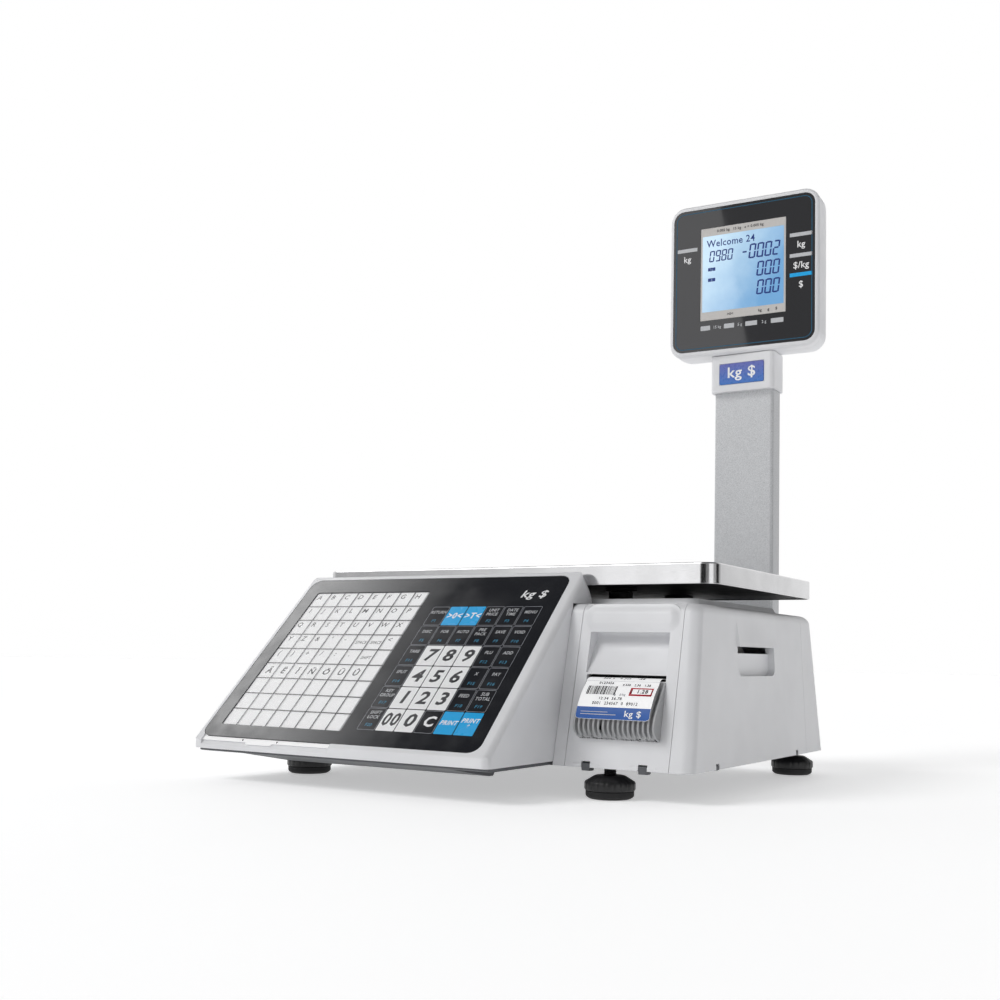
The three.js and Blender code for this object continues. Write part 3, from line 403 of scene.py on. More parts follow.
def solid(vertices, faces):
    data = bmesh.new()
    corners = [data.verts.new(v) for v in vertices]
    for face in faces:
        data.faces.new([corners[i] for i in face])
    bmesh.ops.recalc_face_normals(data, faces=data.faces)
    mesh = bpy.data.meshes.new("solid")
    data.to_mesh(mesh)
    data.free()
    return link(mesh)


def rectangle(xs, ys):
    return [(xs[0], ys[0]), (xs[1], ys[0]), (xs[1], ys[1]), (xs[0], ys[1])]


def rounded(points, radii, steps=QUARTER):
    """Rounds each corner of a polygon; radii is one number or one for each corner."""
    result = []
    for i, (x, y) in enumerate(points):
        radius = radii if isinstance(radii, (int, float)) else radii[i]
        if not radius:
            result.append((x, y))
            continue
        corner = Vector((x, y))
        before = (Vector(points[i - 1]) - corner).normalized()
        after = (Vector(points[(i + 1) % len(points)]) - corner).normalized()
        half = before.angle(after) / 2
        centre = corner + (before + after).normalized() * (radius / math.sin(half))
        start = corner + before * (radius / math.tan(half)) - centre
        end = corner + after * (radius / math.tan(half)) - centre
        sweep = math.atan2(start.x * end.y - start.y * end.x, start.dot(end))
        first = math.atan2(start.y, start.x)
        for k in range(steps + 1):
            angle = first + sweep * k / steps
            result.append((centre.x + radius * math.cos(angle), centre.y + radius * math.sin(angle)))
    return result


def soft(xs, ys, radii, steps=QUARTER):
    """A rectangle with rounded corners."""
    return rounded(rectangle(xs, ys), radii, steps)


def turned(steps, first=0):
    """How far down and how far in a rounded edge is, at each step of a quarter turn."""
    turns = [math.pi / 2 * k / steps for k in range(first, steps + 1)]
    return [(1 - math.sin(turn), 1 - math.cos(turn)) for turn in turns]


def prism(axis, outline, span):
    """An outline pushed along an axis: (y, z) along x, (x, z) along y, (x, y) along z."""
    def point(a, b, c):
        return {"x": (c, a, b), "y": (a, c, b), "z": (a, b, c)}[axis]
    count = len(outline)
    vertices = [point(a, b, c) for c in span for a, b in outline]
    faces = [tuple(range(count)), tuple(range(2 * count - 1, count - 1, -1))]
    for i in range(count):
        j = (i + 1) % count
        faces.append((i, j, j + count, i + count))
    return solid(vertices, faces)


def block(xs, ys, zs):
    return prism("z", rectangle(xs, ys), zs)


def loft(rings):
    """Closed skin through rings of equal length, each a list of (x, y, z)."""
    count = len(rings[0])
    vertices = [v for ring in rings for v in ring]
    faces = [tuple(range(count)), tuple(range(len(vertices) - 1, len(vertices) - count - 1, -1))]
    for r in range(len(rings) - 1):
        for i in range(count):
            a, b = r * count + i, r * count + (i + 1) % count
            faces.append((a, b, b + count, a + count))
    return solid(vertices, faces)


def circle(radius, at, steps=48, wobble=None):
    points = []
    for i in range(steps):
        angle = 2 * math.pi * i / steps
        reach = radius * (wobble(angle) if wobble else 1)
        points.append((at[0] + reach * math.cos(angle), at[1] + reach * math.sin(angle)))
    return points


def rod(axis, radius, span, at, steps=48):
    return prism(axis, circle(radius, at, steps), span)


def lathe(profile, at, steps=64):
    """A turned form about a vertical axis, from (radius, z) pairs; it is closed flat at both ends."""
    return loft([[(x, y, z) for x, y in circle(radius, at, steps)] for radius, z in profile])


def combined(operation, base, tools):
    for tool in tools:
        change = base.modifiers.new(operation, "BOOLEAN")
        change.operation = operation
        change.solver = "MANIFOLD"
        change.object = tool
    graph = bpy.context.evaluated_depsgraph_get()
    mesh = bpy.data.meshes.new_from_object(base.evaluated_get(graph))
    for obj in (base, *tools):
        bpy.data.objects.remove(obj)
    data = bmesh.new()
    data.from_mesh(mesh)
    bmesh.ops.dissolve_limit(data, angle_limit=math.radians(0.2), verts=data.verts, edges=data.edges)
    data.to_mesh(mesh)
    data.free()
    return link(mesh)


def cut(base, *tools):
    return combined("DIFFERENCE", base, tools)


def join(base, *tools):
    return combined("UNION", base, tools)


def common(base, *tools):
    return combined("INTERSECT", base, tools)


def transformed(obj, matrix):
    obj.data.transform(matrix)
    return obj


def merged(objects):
    """Several separate solids as one object."""
    data = bmesh.new()
    for obj in objects:
        data.from_mesh(obj.data)
        bpy.data.objects.remove(obj)
    mesh = bpy.data.meshes.new("merged")
    data.to_mesh(mesh)
    data.free()
    return link(mesh)


# ---- finishing
def smoothing_group():
    """Geometry nodes: weld doubled corners and shade smooth except across real edges."""
    group = bpy.data.node_groups.new("smooth_by_angle", "GeometryNodeTree")
    for way in ("INPUT", "OUTPUT"):
        group.interface.new_socket("Geometry", in_out=way, socket_type="NodeSocketGeometry")
    source = add_node(group, "NodeGroupInput").outputs[0]
    plain = add_node(group, "GeometryNodeRemoveAttribute", {0: source, "Name": "custom_normal"}).outputs[0]
    weld = add_node(group, "GeometryNodeMergeByDistance", {"Geometry": plain, "Distance": 2e-6}).outputs[0]
    faces = add_node(group, "GeometryNodeSetShadeSmooth", {"Geometry": weld}, domain="FACE").outputs[0]
    angle = add_node(group, "GeometryNodeInputMeshEdgeAngle").outputs["Unsigned Angle"]
    inputs = {0: angle, 1: math.radians(36)}
    gentle = add_node(group, "FunctionNodeCompare", inputs, operation="LESS_THAN").outputs[0]
    inputs = {"Geometry": faces, "Shade Smooth": gentle}
    edges = add_node(group, "GeometryNodeSetShadeSmooth", inputs, domain="EDGE").outputs[0]
    add_node(group, "NodeGroupOutput", {0: edges})
    return group


SMOOTH = smoothing_group()


def dress(obj, finish, bevel=0.3, segments=2):
    """Edge rounding, smooth shading and the material."""
    shade = obj.modifiers.new("smooth", "NODES")
    shade.node_group = SMOOTH
    if bevel:
        edge = obj.modifiers.new("edges", "BEVEL")
        edge.width = bevel * MM
        edge.segments = segments
        edge.limit_method = "ANGLE"
        edge.angle_limit = math.radians(38)
        edge.use_clamp_overlap = True
        edge.harden_normals = True
        normals = obj.modifiers.new("normals", "WEIGHTED_NORMAL")
        normals.keep_sharp = True
    obj.data.materials.clear()
    obj.data.materials.append(LOOKS[finish])


def piece(name, obj, finish, body="base", replaces=(), bevel=0.3, segments=2):
    obj.name = name
    obj.data.name = name
    obj.data.transform(Matrix.Scale(MM, 4))
    dress(obj, finish, bevel, segments)
    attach(obj, body)
    if replaces:
        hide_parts(*replaces)


def shell_piece(name, obj, node, bevel=0.6, segments=3, body="base"):
    """A light grey cover that takes a CAD node's place."""
    piece(name, obj, "shell", body, [node], bevel, segments)


# ---- prints
class Print:
    """Flat ink on a surface. place(u, v, lift) gives the surface's own points in millimetres."""

    def __init__(self, place, thickness, longest=None):
        self.place = place
        self.thickness = thickness
        self.longest = longest  # longest straight stretch, where the surface is curved
        self.inks = {}

    def _store(self, ink, vertices, faces):
        data = self.inks.setdefault(ink, ([], []))
        start = len(data[0])
        data[0].extend(vertices)
        data[1].extend(tuple(start + i for i in face) for face in faces)

    def shape(self, ink, outline):
        """A closed flat shape with its thickness."""
        count = len(outline)
        vertices = [self.place(u, v, lift) for lift in (0, self.thickness) for u, v in outline]
        faces = [tuple(range(count))[::-1], tuple(range(count, 2 * count))]
        for i in range(count):
            j = (i + 1) % count
            faces.append((i, j, j + count, i + count))
        self._store(ink, vertices, faces)

    def rect(self, ink, us, vs, radius=0):
        if radius:
            self.shape(ink, soft(us, vs, radius, 4))
            return
        steps = max(1, math.ceil((vs[1] - vs[0]) / self.longest)) if self.longest else 1
        for k in range(steps):
            low = vs[0] + (vs[1] - vs[0]) * k / steps
            high = vs[0] + (vs[1] - vs[0]) * (k + 1) / steps
            self.shape(ink, rectangle(us, (low, high)))

    def outline(self, ink, us, vs, width, radius=1.0, steps=4):
        outer = soft(us, vs, radius, steps)
        inner = soft(grown(us, -width), grown(vs, -width), max(radius - width, 0.05), steps)
        count = len(outer)
        loops = [(outer, 0), (outer, self.thickness), (inner, self.thickness), (inner, 0)]
        vertices = [self.place(u, v, lift) for loop, lift in loops for u, v in loop]
        faces = []
        for k in range(4):
            for i in range(count):
                j = (i + 1) % count
                a, b = k * count, ((k + 1) % 4) * count
                faces.append((a + i, a + j, b + j, b + i))
        self._store(ink, vertices, faces)

    def text(self, ink, string, u, v, size, slant=0.0, squeeze=1.0, weight=0.012):
        curve = bpy.data.curves.new("text", "FONT")
        curve.body = string
        curve.size = size
        curve.align_x = "CENTER"
        curve.align_y = "CENTER"
        curve.shear = slant
        curve.offset = weight * size
        curve.space_character = 1 + 5 * weight
        curve.resolution_u = 2
        curve.extrude = self.thickness / 2
        obj = bpy.data.objects.new("text", curve)
        bpy.context.scene.collection.objects.link(obj)
        graph = bpy.context.evaluated_depsgraph_get()
        mesh = bpy.data.meshes.new_from_object(obj.evaluated_get(graph))
        half = self.thickness / 2
        vertices = [self.place(u + p.co.x * squeeze, v + p.co.y, p.co.z + half) for p in mesh.vertices]
        self._store(ink, vertices, [tuple(f.vertices) for f in mesh.polygons])
        bpy.data.objects.remove(obj)
        bpy.data.meshes.remove(mesh)

    def digits(self, ink, string, right, v, size, pitch, slant=0.12):
        """Seven-segment figures, set from the right."""
        lit = {"0": "abcdef", "1": "bc", "2": "abged", "3": "abgcd", "4": "fgbc", "5": "afgcd",
               "6": "afgedc", "7": "abc", "8": "abcdefg", "9": "abfgcd", "-": "g"}
        half, wide, bar = size / 2, size * 0.46, size * 0.11
        bars = {
            "a": ((bar * 0.8, wide - bar * 0.8), (half - bar, half)),
            "g": ((bar * 0.8, wide - bar * 0.8), (-bar / 2, bar / 2)),
            "d": ((bar * 0.8, wide - bar * 0.8), (-half, -half + bar)),
            "f": ((0, bar), (bar * 0.35, half - bar * 0.4)),
            "e": ((0, bar), (-half + bar * 0.4, -bar * 0.35)),
            "b": ((wide - bar, wide), (bar * 0.35, half - bar * 0.4)),
            "c": ((wide - bar, wide), (-half + bar * 0.4, -bar * 0.35)),
        }
        at = right
        for mark in reversed(string):
            if mark == ".":
                dot = at + pitch - wide * 0.42
                corners = rectangle((dot, dot + bar), (-half, -half + bar))
                self.shape(ink, [(x + slant * y, y + v) for x, y in corners])
                continue
            at -= pitch
            for name in lit.get(mark, ""):
                xs, ys = bars[name]
                self.shape(ink, [(at + x + slant * y, y + v) for x, y in rectangle(xs, ys)])

    def build(self, name, slot, body):
        for ink, (vertices, faces) in self.inks.items():
            piece(f"{name}_{ink}", solid(vertices, faces), ink, body, bevel=0)


# ---- main housing
rear_low, rear_high = node_box("rear_cover")
side_low, side_high = node_box("side_door")
front_low, front_high = node_box("printer_door")
top_low, top_high = node_box("top_cover")
console_low, console_high = node_box("console_housing")

BODY_X = (rear_low.x, rear_high.x)
BODY_Y = (front_low.y, rear_high.y)
BODY_Z = (rear_low.z, side_high.z)
DRAFT = {"side": 7.0, "front": 28.35, "rear": 18.0}
RADIUS = {"front": 9.0, "rear": 20.0, "top": 8.0}

DECK_SEAM_X = front_high.x + SEAM
REAR_SEAM_Y = rear_low.y - SEAM
DOOR_LEFT_X = front_low.x - SEAM
DOOR_TOP_Y = BODY_Y[0] + DRAFT["front"] + 7.5
DECK_FRONT_Y = DOOR_TOP_Y + 18


def rise(z):
    return (z - BODY_Z[0]) / (BODY_Z[1] - BODY_Z[0])


def front_face(z):
    return BODY_Y[0] + DRAFT["front"] * rise(z)


def side_face(z):
    return BODY_X[1] - DRAFT["side"] * rise(z)


def rear_face(z):
    return BODY_Y[1] - DRAFT["rear"] * rise(z)


def body_ring(z, inset, edge=0.0):
    xs = grown(BODY_X, -(DRAFT["side"] * rise(z) + inset + edge))
    ys = grown((front_face(z), rear_face(z)), -(inset + edge))
    front, rear = max(RADIUS["front"] - inset, 2), max(RADIUS["rear"] - inset, 2)
    return [(x, y, z) for x, y in soft(xs, ys, (front, front, rear, rear))]


def body_form(inset):
    top, radius = BODY_Z[1] - inset, RADIUS["top"] - inset
    rings = [body_ring(0 if inset else BODY_Z[0], inset)]
    rings += [body_ring(top - radius * down, inset, radius * inward) for down, inward in turned(QUARTER)]
    return loft(rings)


def body_skin():
    return cut(body_form(0), body_form(WALL))


PLATEAU = {"x": (-186, 180), "y": (-76, 121), "slope": 4, "radius": 10}
LEVEL_AT = (-150, -52)


def tray_posts():
    return [centre(f"tray_cup_{i}")[:2] for i in range(1, 5)]


def hill(inset, low, high):
    """The raised part of the deck under the platter."""
    rings = []
    for z, edge in ((low, 0), (high, PLATEAU["slope"])):
        sides = (grown(PLATEAU[axis], -(inset + edge)) for axis in "xy")
        outline = soft(*sides, PLATEAU["radius"] - (inset + edge) / 2)
        rings.append([(x, y, z) for x, y in outline])
    return loft(rings)


def top_cover():
    top = top_high.z - 1.4
    regions = (
        block((-FAR, DECK_SEAM_X - SEAM), (DECK_FRONT_Y, REAR_SEAM_Y - SEAM), ALL_Z),
        block((console_high.x + TOUCH, DOOR_LEFT_X - SEAM), (-FAR, 0), ALL_Z),
        block((console_high.x + TOUCH, DECK_SEAM_X - SEAM), (DOOR_TOP_Y + SEAM, 0), ALL_Z),
        block((-FAR, -150), (console_back() + 0.4, 0), (0, BODY_Z[1] - 12)),
    )
    sheet = common(body_skin(), join(*regions))
    collars = [rod("z", 11.5, (148, top + 1.4), at) for at in tray_posts()]
    floor = rod("z", 12, (top - 6.5, top - 1), LEVEL_AT)
    holes = [rod("z", 9, (100, 200), at) for at in tray_posts()]
    shell = join(sheet, hill(0, BODY_Z[1] - 1, top), *collars)
    hollow = hill(WALL, BODY_Z[1] - WALL - 2, top - WALL)
    body = cut(join(cut(shell, hollow), floor), rod("z", 9.3, (top - 3, top + 5), LEVEL_AT), *holes)
    shell_piece("deck", body, "top_cover")


PORTS = {"x": (-78, 34), "z": (42, 78)}
VENTS = {"first": -60, "pitch": 14, "width": 8, "count": 7, "z": (104, 128)}
BEHIND = (150, 200)  # a depth that spans the rear wall


def rear_cover():
    inlet_x, _, inlet_z = spans("power_inlet")
    switch_x = spans("power_rocker")[0]
    middle = centre("power_rocker")[2]
    sheet = common(body_skin(), block((-FAR, FAR), (REAR_SEAM_Y + SEAM, FAR), ALL_Z))
    tools = [
        block(grown(PORTS["x"]), BEHIND, grown(PORTS["z"])),
        block(grown(inlet_x), BEHIND, grown(inlet_z)),
        block(grown(switch_x, 0.4), BEHIND, (middle - 10.9, middle + 10.9)),
    ]
    for i in range(VENTS["count"]):
        left = VENTS["first"] + i * VENTS["pitch"]
        tools.append(prism("y", soft((left, left + VENTS["width"]), VENTS["z"], 1.8, 5), BEHIND))
    shell_piece("rear_shell", cut(sheet, *tools), "rear_cover")


# ---- doors
def hinge_joint(name):
    return next(j for j in frame["joints"] if j["name"] == name)


PULL = {"y": (-40, 47), "z": (94, 118), "slot": 112.6, "hood_top": 140, "inner": 194.5}
HINGE = {"barrel": 1.7, "pin": 1.1, "notch_top": 27.8,
         "side_ears": (-92, 96), "side_ear": 6, "front_ears": (117, 165), "front_ear": 7}


def knuckles(axis, ears, across, z, ear, barrel):
    """Barrels, notches for the pan's ears and pins along a hinge line; ear and barrel are half lengths."""
    def about(at, reach):
        return (at - reach, at + reach)
    notches = []
    for at in ears:
        gap, reach = grown(about(at, ear)), about(across, 9)
        xs, ys = (gap, reach) if axis == "x" else (reach, gap)
        notches.append(block(xs, ys, (0, HINGE["notch_top"])))
    barrels = [rod(axis, HINGE["barrel"], about(at, barrel), (across, z), 24) for at in ears]
    pins = [rod(axis, HINGE["pin"], about(at, 6), (across, z), 24) for at in ears]
    return barrels, notches, pins


def side_door():
    x, _, z = (v / MM for v in hinge_joint("side_door_hinge")["pos_m"])
    top, low = PULL["hood_top"], PULL["z"][1]
    proud = 2.6
    rings = []
    for height, out in ((top, -1.5), (top - 1.5, 0.0), (low + 4, proud - 0.5), (low, proud)):
        taper = 3.5 * (height - low) / (top - low)
        ys = (PULL["y"][0] - 3 + taper, PULL["y"][1] + 3 - taper)
        chamfer = max(out, 0) + 0.2
        face = side_face(height)
        left = [(face - 2.4, ys[0]), (face - 0.2, ys[0]), (face + out, ys[0] + chamfer)]
        right = [(face + out, ys[1] - chamfer), (face - 0.2, ys[1]), (face - 2.4, ys[1])]
        rings.append([(x_at, y_at, height) for x_at, y_at in left + right])
    hood = loft(rings)
    pocket = block((PULL["inner"] - 2.5, 199), grown(PULL["y"], 2.5), (PULL["z"][0] - 2.5, 130))
    pocket = common(pocket, body_form(1))
    hollow = (
        prism("x", soft(PULL["y"], PULL["z"], (7, 7, 0, 0)), (PULL["inner"], 220)),
        block((PULL["inner"], 196.4), PULL["y"], (100, 127.5)),
        block((PULL["inner"] - 6, PULL["inner"] + 1), PULL["y"], (PULL["slot"], 127.5)),
    )
    barrels, notches, pins = knuckles("y", HINGE["side_ears"], x, z, HINGE["side_ear"] / 2, 12)
    region = block((DECK_SEAM_X + SEAM, FAR), (-FAR, REAR_SEAM_Y - SEAM), ALL_Z)
    shell = join(common(body_skin(), region), hood, pocket, *barrels)
    body = join(cut(shell, *hollow, *notches), *pins)
    shell_piece("side_flap_shell", body, "side_door", body="side_flap")


RECESS = {"x": (107.7, 176), "z": (95.5, 127), "depth": 12}
SLOT = {"x": (108.7, 176.6), "z": (89.5, 94)}
PILLOW = {"x": (101.5, 184), "z": (126.5, 149), "height": 2.2, "spread": 8.0, "radius": 10.0}


def recess_wedge(edge):
    low, high = RECESS["z"]
    deep = front_face(high) + RECESS["depth"]
    outline = [(front_face(low) - 20, low - edge), (front_face(low) + 1.5 + edge, low - edge),
               (deep + edge, high - 4), (deep + edge, high + edge), (front_face(high) - 20, high + edge)]
    return prism("x", outline, grown(RECESS["x"], edge))


def pillow():
    """A soft raised pad on the door's upper edge that fades into the face."""
    rings = []
    steps = 7
    for k in range(-1, steps + 1):
        share = max(k, 0) / steps
        inset = share * PILLOW["spread"]
        out = PILLOW["height"] * (1 - math.cos(math.pi * share)) / 2 if k >= 0 else -1.2
        xs, zs = (grown(PILLOW[axis], -inset) for axis in "xz")
        loop = soft(xs, zs, max(PILLOW["radius"] - inset, 0.4))
        rings.append([(x, front_face(z) - out, z) for x, z in loop])
    return loft(rings)


def printer_door():
    _, y, z = (v / MM for v in hinge_joint("printer_door_hinge")["pos_m"])
    region = block((DOOR_LEFT_X + SEAM, DECK_SEAM_X - SEAM), (-FAR, DOOR_TOP_Y - SEAM), ALL_Z)
    barrels, notches, pins = knuckles("x", HINGE["front_ears"], y, z, HINGE["front_ear"] / 2, 11)
    pocket = common(recess_wedge(2.4), body_form(1))
    skin = join(common(body_skin(), region), common(pillow(), body_form(-4)), pocket, *barrels)
    slot = block(SLOT["x"], (-150, -115), SLOT["z"])
    body = join(cut(skin, recess_wedge(0), slot, *notches), *pins)
    shell_piece("printer_flap_shell", body, "printer_door", body="printer_flap")


# ---- ribbed nose and issued label
def smooth_path(points, steps=5):
    """A Catmull-Rom curve through the points."""
    result = []
    last = len(points) - 1
    for i in range(last):
        a, b, c, d = (Vector(points[max(0, min(last, k))]) for k in (i - 1, i, i + 1, i + 2))
        for s in range(steps):
            t = s / steps
            result.append(0.5 * (2 * b + (c - a) * t + (2 * a - 5 * b + 4 * c - d) * t * t
                                 + (3 * b - a - 3 * c + d) * t ** 3))
    result.append(Vector(points[-1]))
    return [(p.x, p.y) for p in result]


COMB = {"fin": 1.5, "pitch": 4.0}


def comb_outline(out):
    """Side outline, (y, z), of the nose that the label comes out over."""
    def face(z):
        return front_face(z) - TOUCH
    front = smooth_path([(face(88.9), 88.9), (face(80) - 4.5 - out, 80), (face(68) - 10.5 - out, 68),
                         (face(58) - 13 - out, 58.5), (face(52) - 11.5 - out, 52), (face(47) - 5, 47)], 4)
    return front + [(face(45), 45)]


def peel_comb():
    left, right = spans("peel_comb")[0]
    core = prism("x", comb_outline(-4), (left, right - 0.6))
    room = right - left - COMB["fin"]
    count = int(room / COMB["pitch"])
    starts = [left + room * i / count for i in range(count + 1)]
    fins = [prism("x", comb_outline(0), (x, x + COMB["fin"])) for x in starts]
    piece("peel_nose", join(core, *fins), "comb", "printer_flap", ["peel_comb"], 0.25)


class Ribbon:
    """A strip that follows a path of (y, z) points; t runs along it and out is its upper side."""

    def __init__(self, points):
        self.points = [Vector(p) for p in points]
        self.lengths = [0.0]
        for a, b in zip(self.points, self.points[1:]):
            self.lengths.append(self.lengths[-1] + (b - a).length)
        self.length = self.lengths[-1]

    def at(self, t, out=0.0):
        k = next((i for i in range(1, len(self.lengths)) if t <= self.lengths[i]), len(self.lengths) - 1)
        a, b = self.points[k - 1], self.points[k]
        along = (b - a).normalized()
        place = a + along * (t - self.lengths[k - 1])
        normal = self.normal(k, t)
        return place + normal * out

    def normal(self, k, t):
        def side(i):
            i = max(1, min(len(self.points) - 1, i))
            along = (self.points[i] - self.points[i - 1]).normalized()
            return Vector((along.y, -along.x))
        share = (t - self.lengths[k - 1]) / (self.lengths[k] - self.lengths[k - 1])
        before, after = side(k) + side(k - 1), side(k) + side(k + 1)
        return before.normalized().lerp(after.normalized(), max(0, min(1, share))).normalized()

    def sheet(self, xs, thickness, start=0.0, end=None, radius=0.0, step=1.0):
        end = self.length if end is None else end
        count = max(2, math.ceil((end - start) / step))
        rings = []
        for k in range(count + 1):
            t = start + (end - start) * k / count
            near = max(0.0, radius - (end - t))
            inset = radius - math.sqrt(max(radius * radius - near * near, 0.0)) if radius else 0.0
            top, under = self.at(t, thickness), self.at(t)
            left, right = xs[0] + inset, xs[1] - inset
            rings.append([(left, *under), (right, *under), (right, *top), (left, *top)])
        return loft(rings)


LABEL_LINES = (  # words, place across, place down the label, size, squeeze
    ("500 g   4 pcs   1.28", 0, 3.2, 3.9, 1.0),
    ("0123456", -13, 8.9, 3.2, 1.0),
    ("0.500   2.56   1.28", 13, 10.4, 3.2, 0.85),
    ("1.28", 20, 16.9, 4.8, 1.0),
    ("12.34  56.78", -5, 24.0, 3.4, 1.0),
    ("0001  234567  0  89012", 0, 28.2, 3.6, 0.95),
)


LABEL = {"thick": 0.16, "band_thick": 0.05, "radius": 2.5, "print": 41, "band": 9.5}


def issued_label():
    low, high = node_box("issued_label")
    path = Ribbon(smooth_path([(high.y, 91.15), (-127.6, 91.15), (-132.9, 86.4), (-139.9, 79), (-146.4, 68.4),
                               (low.y, low.z)]))
    base = path.sheet((low.x, high.x), LABEL["thick"], radius=LABEL["radius"])
    piece("label_paper", base, "paper", "printer_flap", ["issued_label"], bevel=0)
    start, end = path.length - LABEL["band"], path.length - 0.1
    band = path.sheet((low.x + 0.1, high.x - 0.1), LABEL["band_thick"], start, end, LABEL["radius"] - 0.1)
    shifted = transformed(band, Matrix.Translation((0, -0.12, 0.1)))
    piece("label_band", shifted, "label_blue", "printer_flap", bevel=0)

    middle = (low.x + high.x) / 2

    def ink_from(start, raised):
        """Ink on the label; v is measured back up the label from the distance start along it."""
        return Print(lambda u, v, lift: (middle + u, *path.at(start - v, raised + lift)), 0.04, longest=1.5)
    ink = ink_from(path.length - LABEL["print"], LABEL["thick"] + 0.01)
    for words, u, down, size, squeeze in LABEL_LINES:
        ink.text("black_ink", words, u, -down, size, squeeze=squeeze, weight=0.03)
    ink.rect("grey_ink", (-31, 31), (-7.0, -6.8))
    at = -27.0
    while at < -2.5:
        width = random.choice((0.35, 0.35, 0.7, 1.05))
        ink.rect("black_ink", (at, at + width), (-20.5, -12))
        at += width + random.choice((0.35, 0.35, 0.7))
    for us, vs in (((9.5, 28.5), (-14.4, -13.2)), ((9.5, 28.5), (-21, -19.4)), ((9.5, 11.5), (-19.4, -14.4)),
                   ((27.3, 28.5), (-19.4, -14.4))):
        ink.rect("red_ink", us, vs)
    ink.text("grey_ink", "kg   $/kg", 1.5, -20.2, 2.8, weight=0.02)
    band_ink = ink_from(path.length, 0.34)
    band_ink.rect("silver_ink", (-27, 3), (3.4, 3.9))
    band_ink.rect("silver_ink", (-27, -4), (5.4, 5.8))
    band_ink.text("white_ink", "kg $", 17, 4.6, 6.6, squeeze=1.2, weight=0.012)
    ink.build("label_print", "paper", "printer_flap")
    band_ink.build("label_band_print", "paper", "printer_flap")


# ---- key console
overlay_low, overlay_high = node_box("keypad_overlay")
slide = hinge_joint("key_sheet_slide")["axis"]
SLANT = math.atan2(-slide[2], -slide[1])
OVERLAY = {"top": -0.2, "under": -1.5, "radius": 10.0}
KEYS_Y = overlay_low.y + OVERLAY["top"] * math.sin(SLANT)
KEYS_Z = overlay_low.z - OVERLAY["under"] * math.cos(SLANT)
KEYS_LENGTH = (overlay_high.z - KEYS_Z - OVERLAY["top"] * math.cos(SLANT)) / math.sin(SLANT)
ON_SLANT = Matrix.Translation((0, KEYS_Y, KEYS_Z)) @ Matrix.Rotation(SLANT, 4, "X")


def console_back():
    return console_high.y - 32.9


def slant_point(s, n):
    run, climb = math.cos(SLANT), math.sin(SLANT)
    return (KEYS_Y + s * run - n * climb, KEYS_Z + s * climb + n * run)


def on_slant(obj):
    return transformed(obj, ON_SLANT)


def console_housing():
    left, right, front, bottom = console_low.x, console_high.x, console_low.y, console_low.z
    back, rim = console_back(), console_high.y
    ridge, under, lip = slant_point(197, 0), slant_point(191, -5), slant_point(-0.5, -5)
    outline = rounded(
        [(front, bottom), slant_point(-4.7, 0), ridge, (ridge[0] + 4.5, ridge[1] - 0.6), (rim, 151),
         (rim, 150.1), (back, 150.1), (back, bottom)],
        (1.2, 2, 3, 3, 0, 0, 0, 0),
    )
    hollow = [(front + WALL, 0), (front + WALL, lip[1] - 2.5), lip, under, (rim - 6.2, 165), (rim - 3.1, 151),
              (rim - 3.1, 120), (-60, 120), (-60, 0)]
    corners = soft((left, right), (-60, 199.5), (0, 0, 13, 13))
    corners = on_slant(prism("z", corners, (-200, 20)))
    edges = soft((left, right), (-250, 0), (0, 0, 4.5, 4.5))
    edges = on_slant(prism("y", edges, (-90, 260)))
    lip_corners = prism("z", soft((left, right), (front, 100), (7, 7, 0, 0)), (0, 300))
    outer = common(prism("x", outline, (left, right)), corners, edges, lip_corners)
    across, depth = spans("keypad_overlay")[0], (-2.6, 10)
    seat = soft(grown(across), grown((0, KEYS_LENGTH)), OVERLAY["radius"])
    recess = on_slant(prism("z", seat, depth))
    sheet_left, sheet_right = spans("key_sheet")[0]
    mouth = on_slant(block((sheet_left - 0.4, sheet_right + 1), (-20, 8), depth))
    ribbon = on_slant(block((-60, -20), (150, 160), (-20, 0)))
    body = cut(outer, prism("x", hollow, grown((left, right), -WALL)), recess, mouth, ribbon)
    shell_piece("console_shell", body, "console_housing", 0.5)


SPEED = {"u": (-184.7, -57.5), "v": (13.5, 175.1), "columns": 8, "rows": 9, "line": 0.9}
WINDOW = {"u": (-185.0, -57.2), "v": (13.2, 175.4)}  # clear part of the overlay, over the key sheet
FILM = (-0.55, -0.25)  # depth of the clear film in the window
CARD = {"depth": (-1.75, -1.25), "v": (-3.6, 178.0), "tab": (-146, -118)}
FUNCTION = {"u": (-43.4, 65.4), "v": (15.4, 155.8), "columns": 6, "rows": 6, "gap": 0.9}

SPEED_LEGENDS = [
    ["A", "B", "C", "D", "E", "F", "G", "H"],
    ["I", "J", "K", "L", "M", "N", "O", "P"],
    ["Q", "R", "S", "T", "U", "V", "W", "X"],
    ["Y", "Z", "&", "'", "-", "SPACE", "SPACE", "<"],
    ["(", ")", "+", "/", ":", ".", "SHIFT", ""],
    ["Ä", "Ë", "Ï", "Ñ", "Ö", "Ü", "Û", ""],
]
FUNCTION_LEGENDS = [
    ["RETURN", ">0<", ">T<", "UNIT\nPRICE", "DATE\nTIME", "MENU"],
    ["DISC", "FOR", "AUTO", "PRE\nPACK", "SAVE", "VOID"],
    ["TARE", "7", "8", "9", "PLU", "ADD"],
    ["SPLIT", "4", "5", "6", "X", "PAY"],
    ["KEY\nGROUP", "1", "2", "3", "FEED", "SUB\nTOTAL"],
    ["SHIFT\nLOCK", "00", "0", "C", "PRINT", "PRINT\n*"],
]
BLUE_KEYS = {(0, 1), (0, 2), (5, 4), (5, 5)}
WHITE_KEYS = {(r, c) for r in (2, 3, 4) for c in (1, 2, 3)} | {(5, 1), (5, 2)}


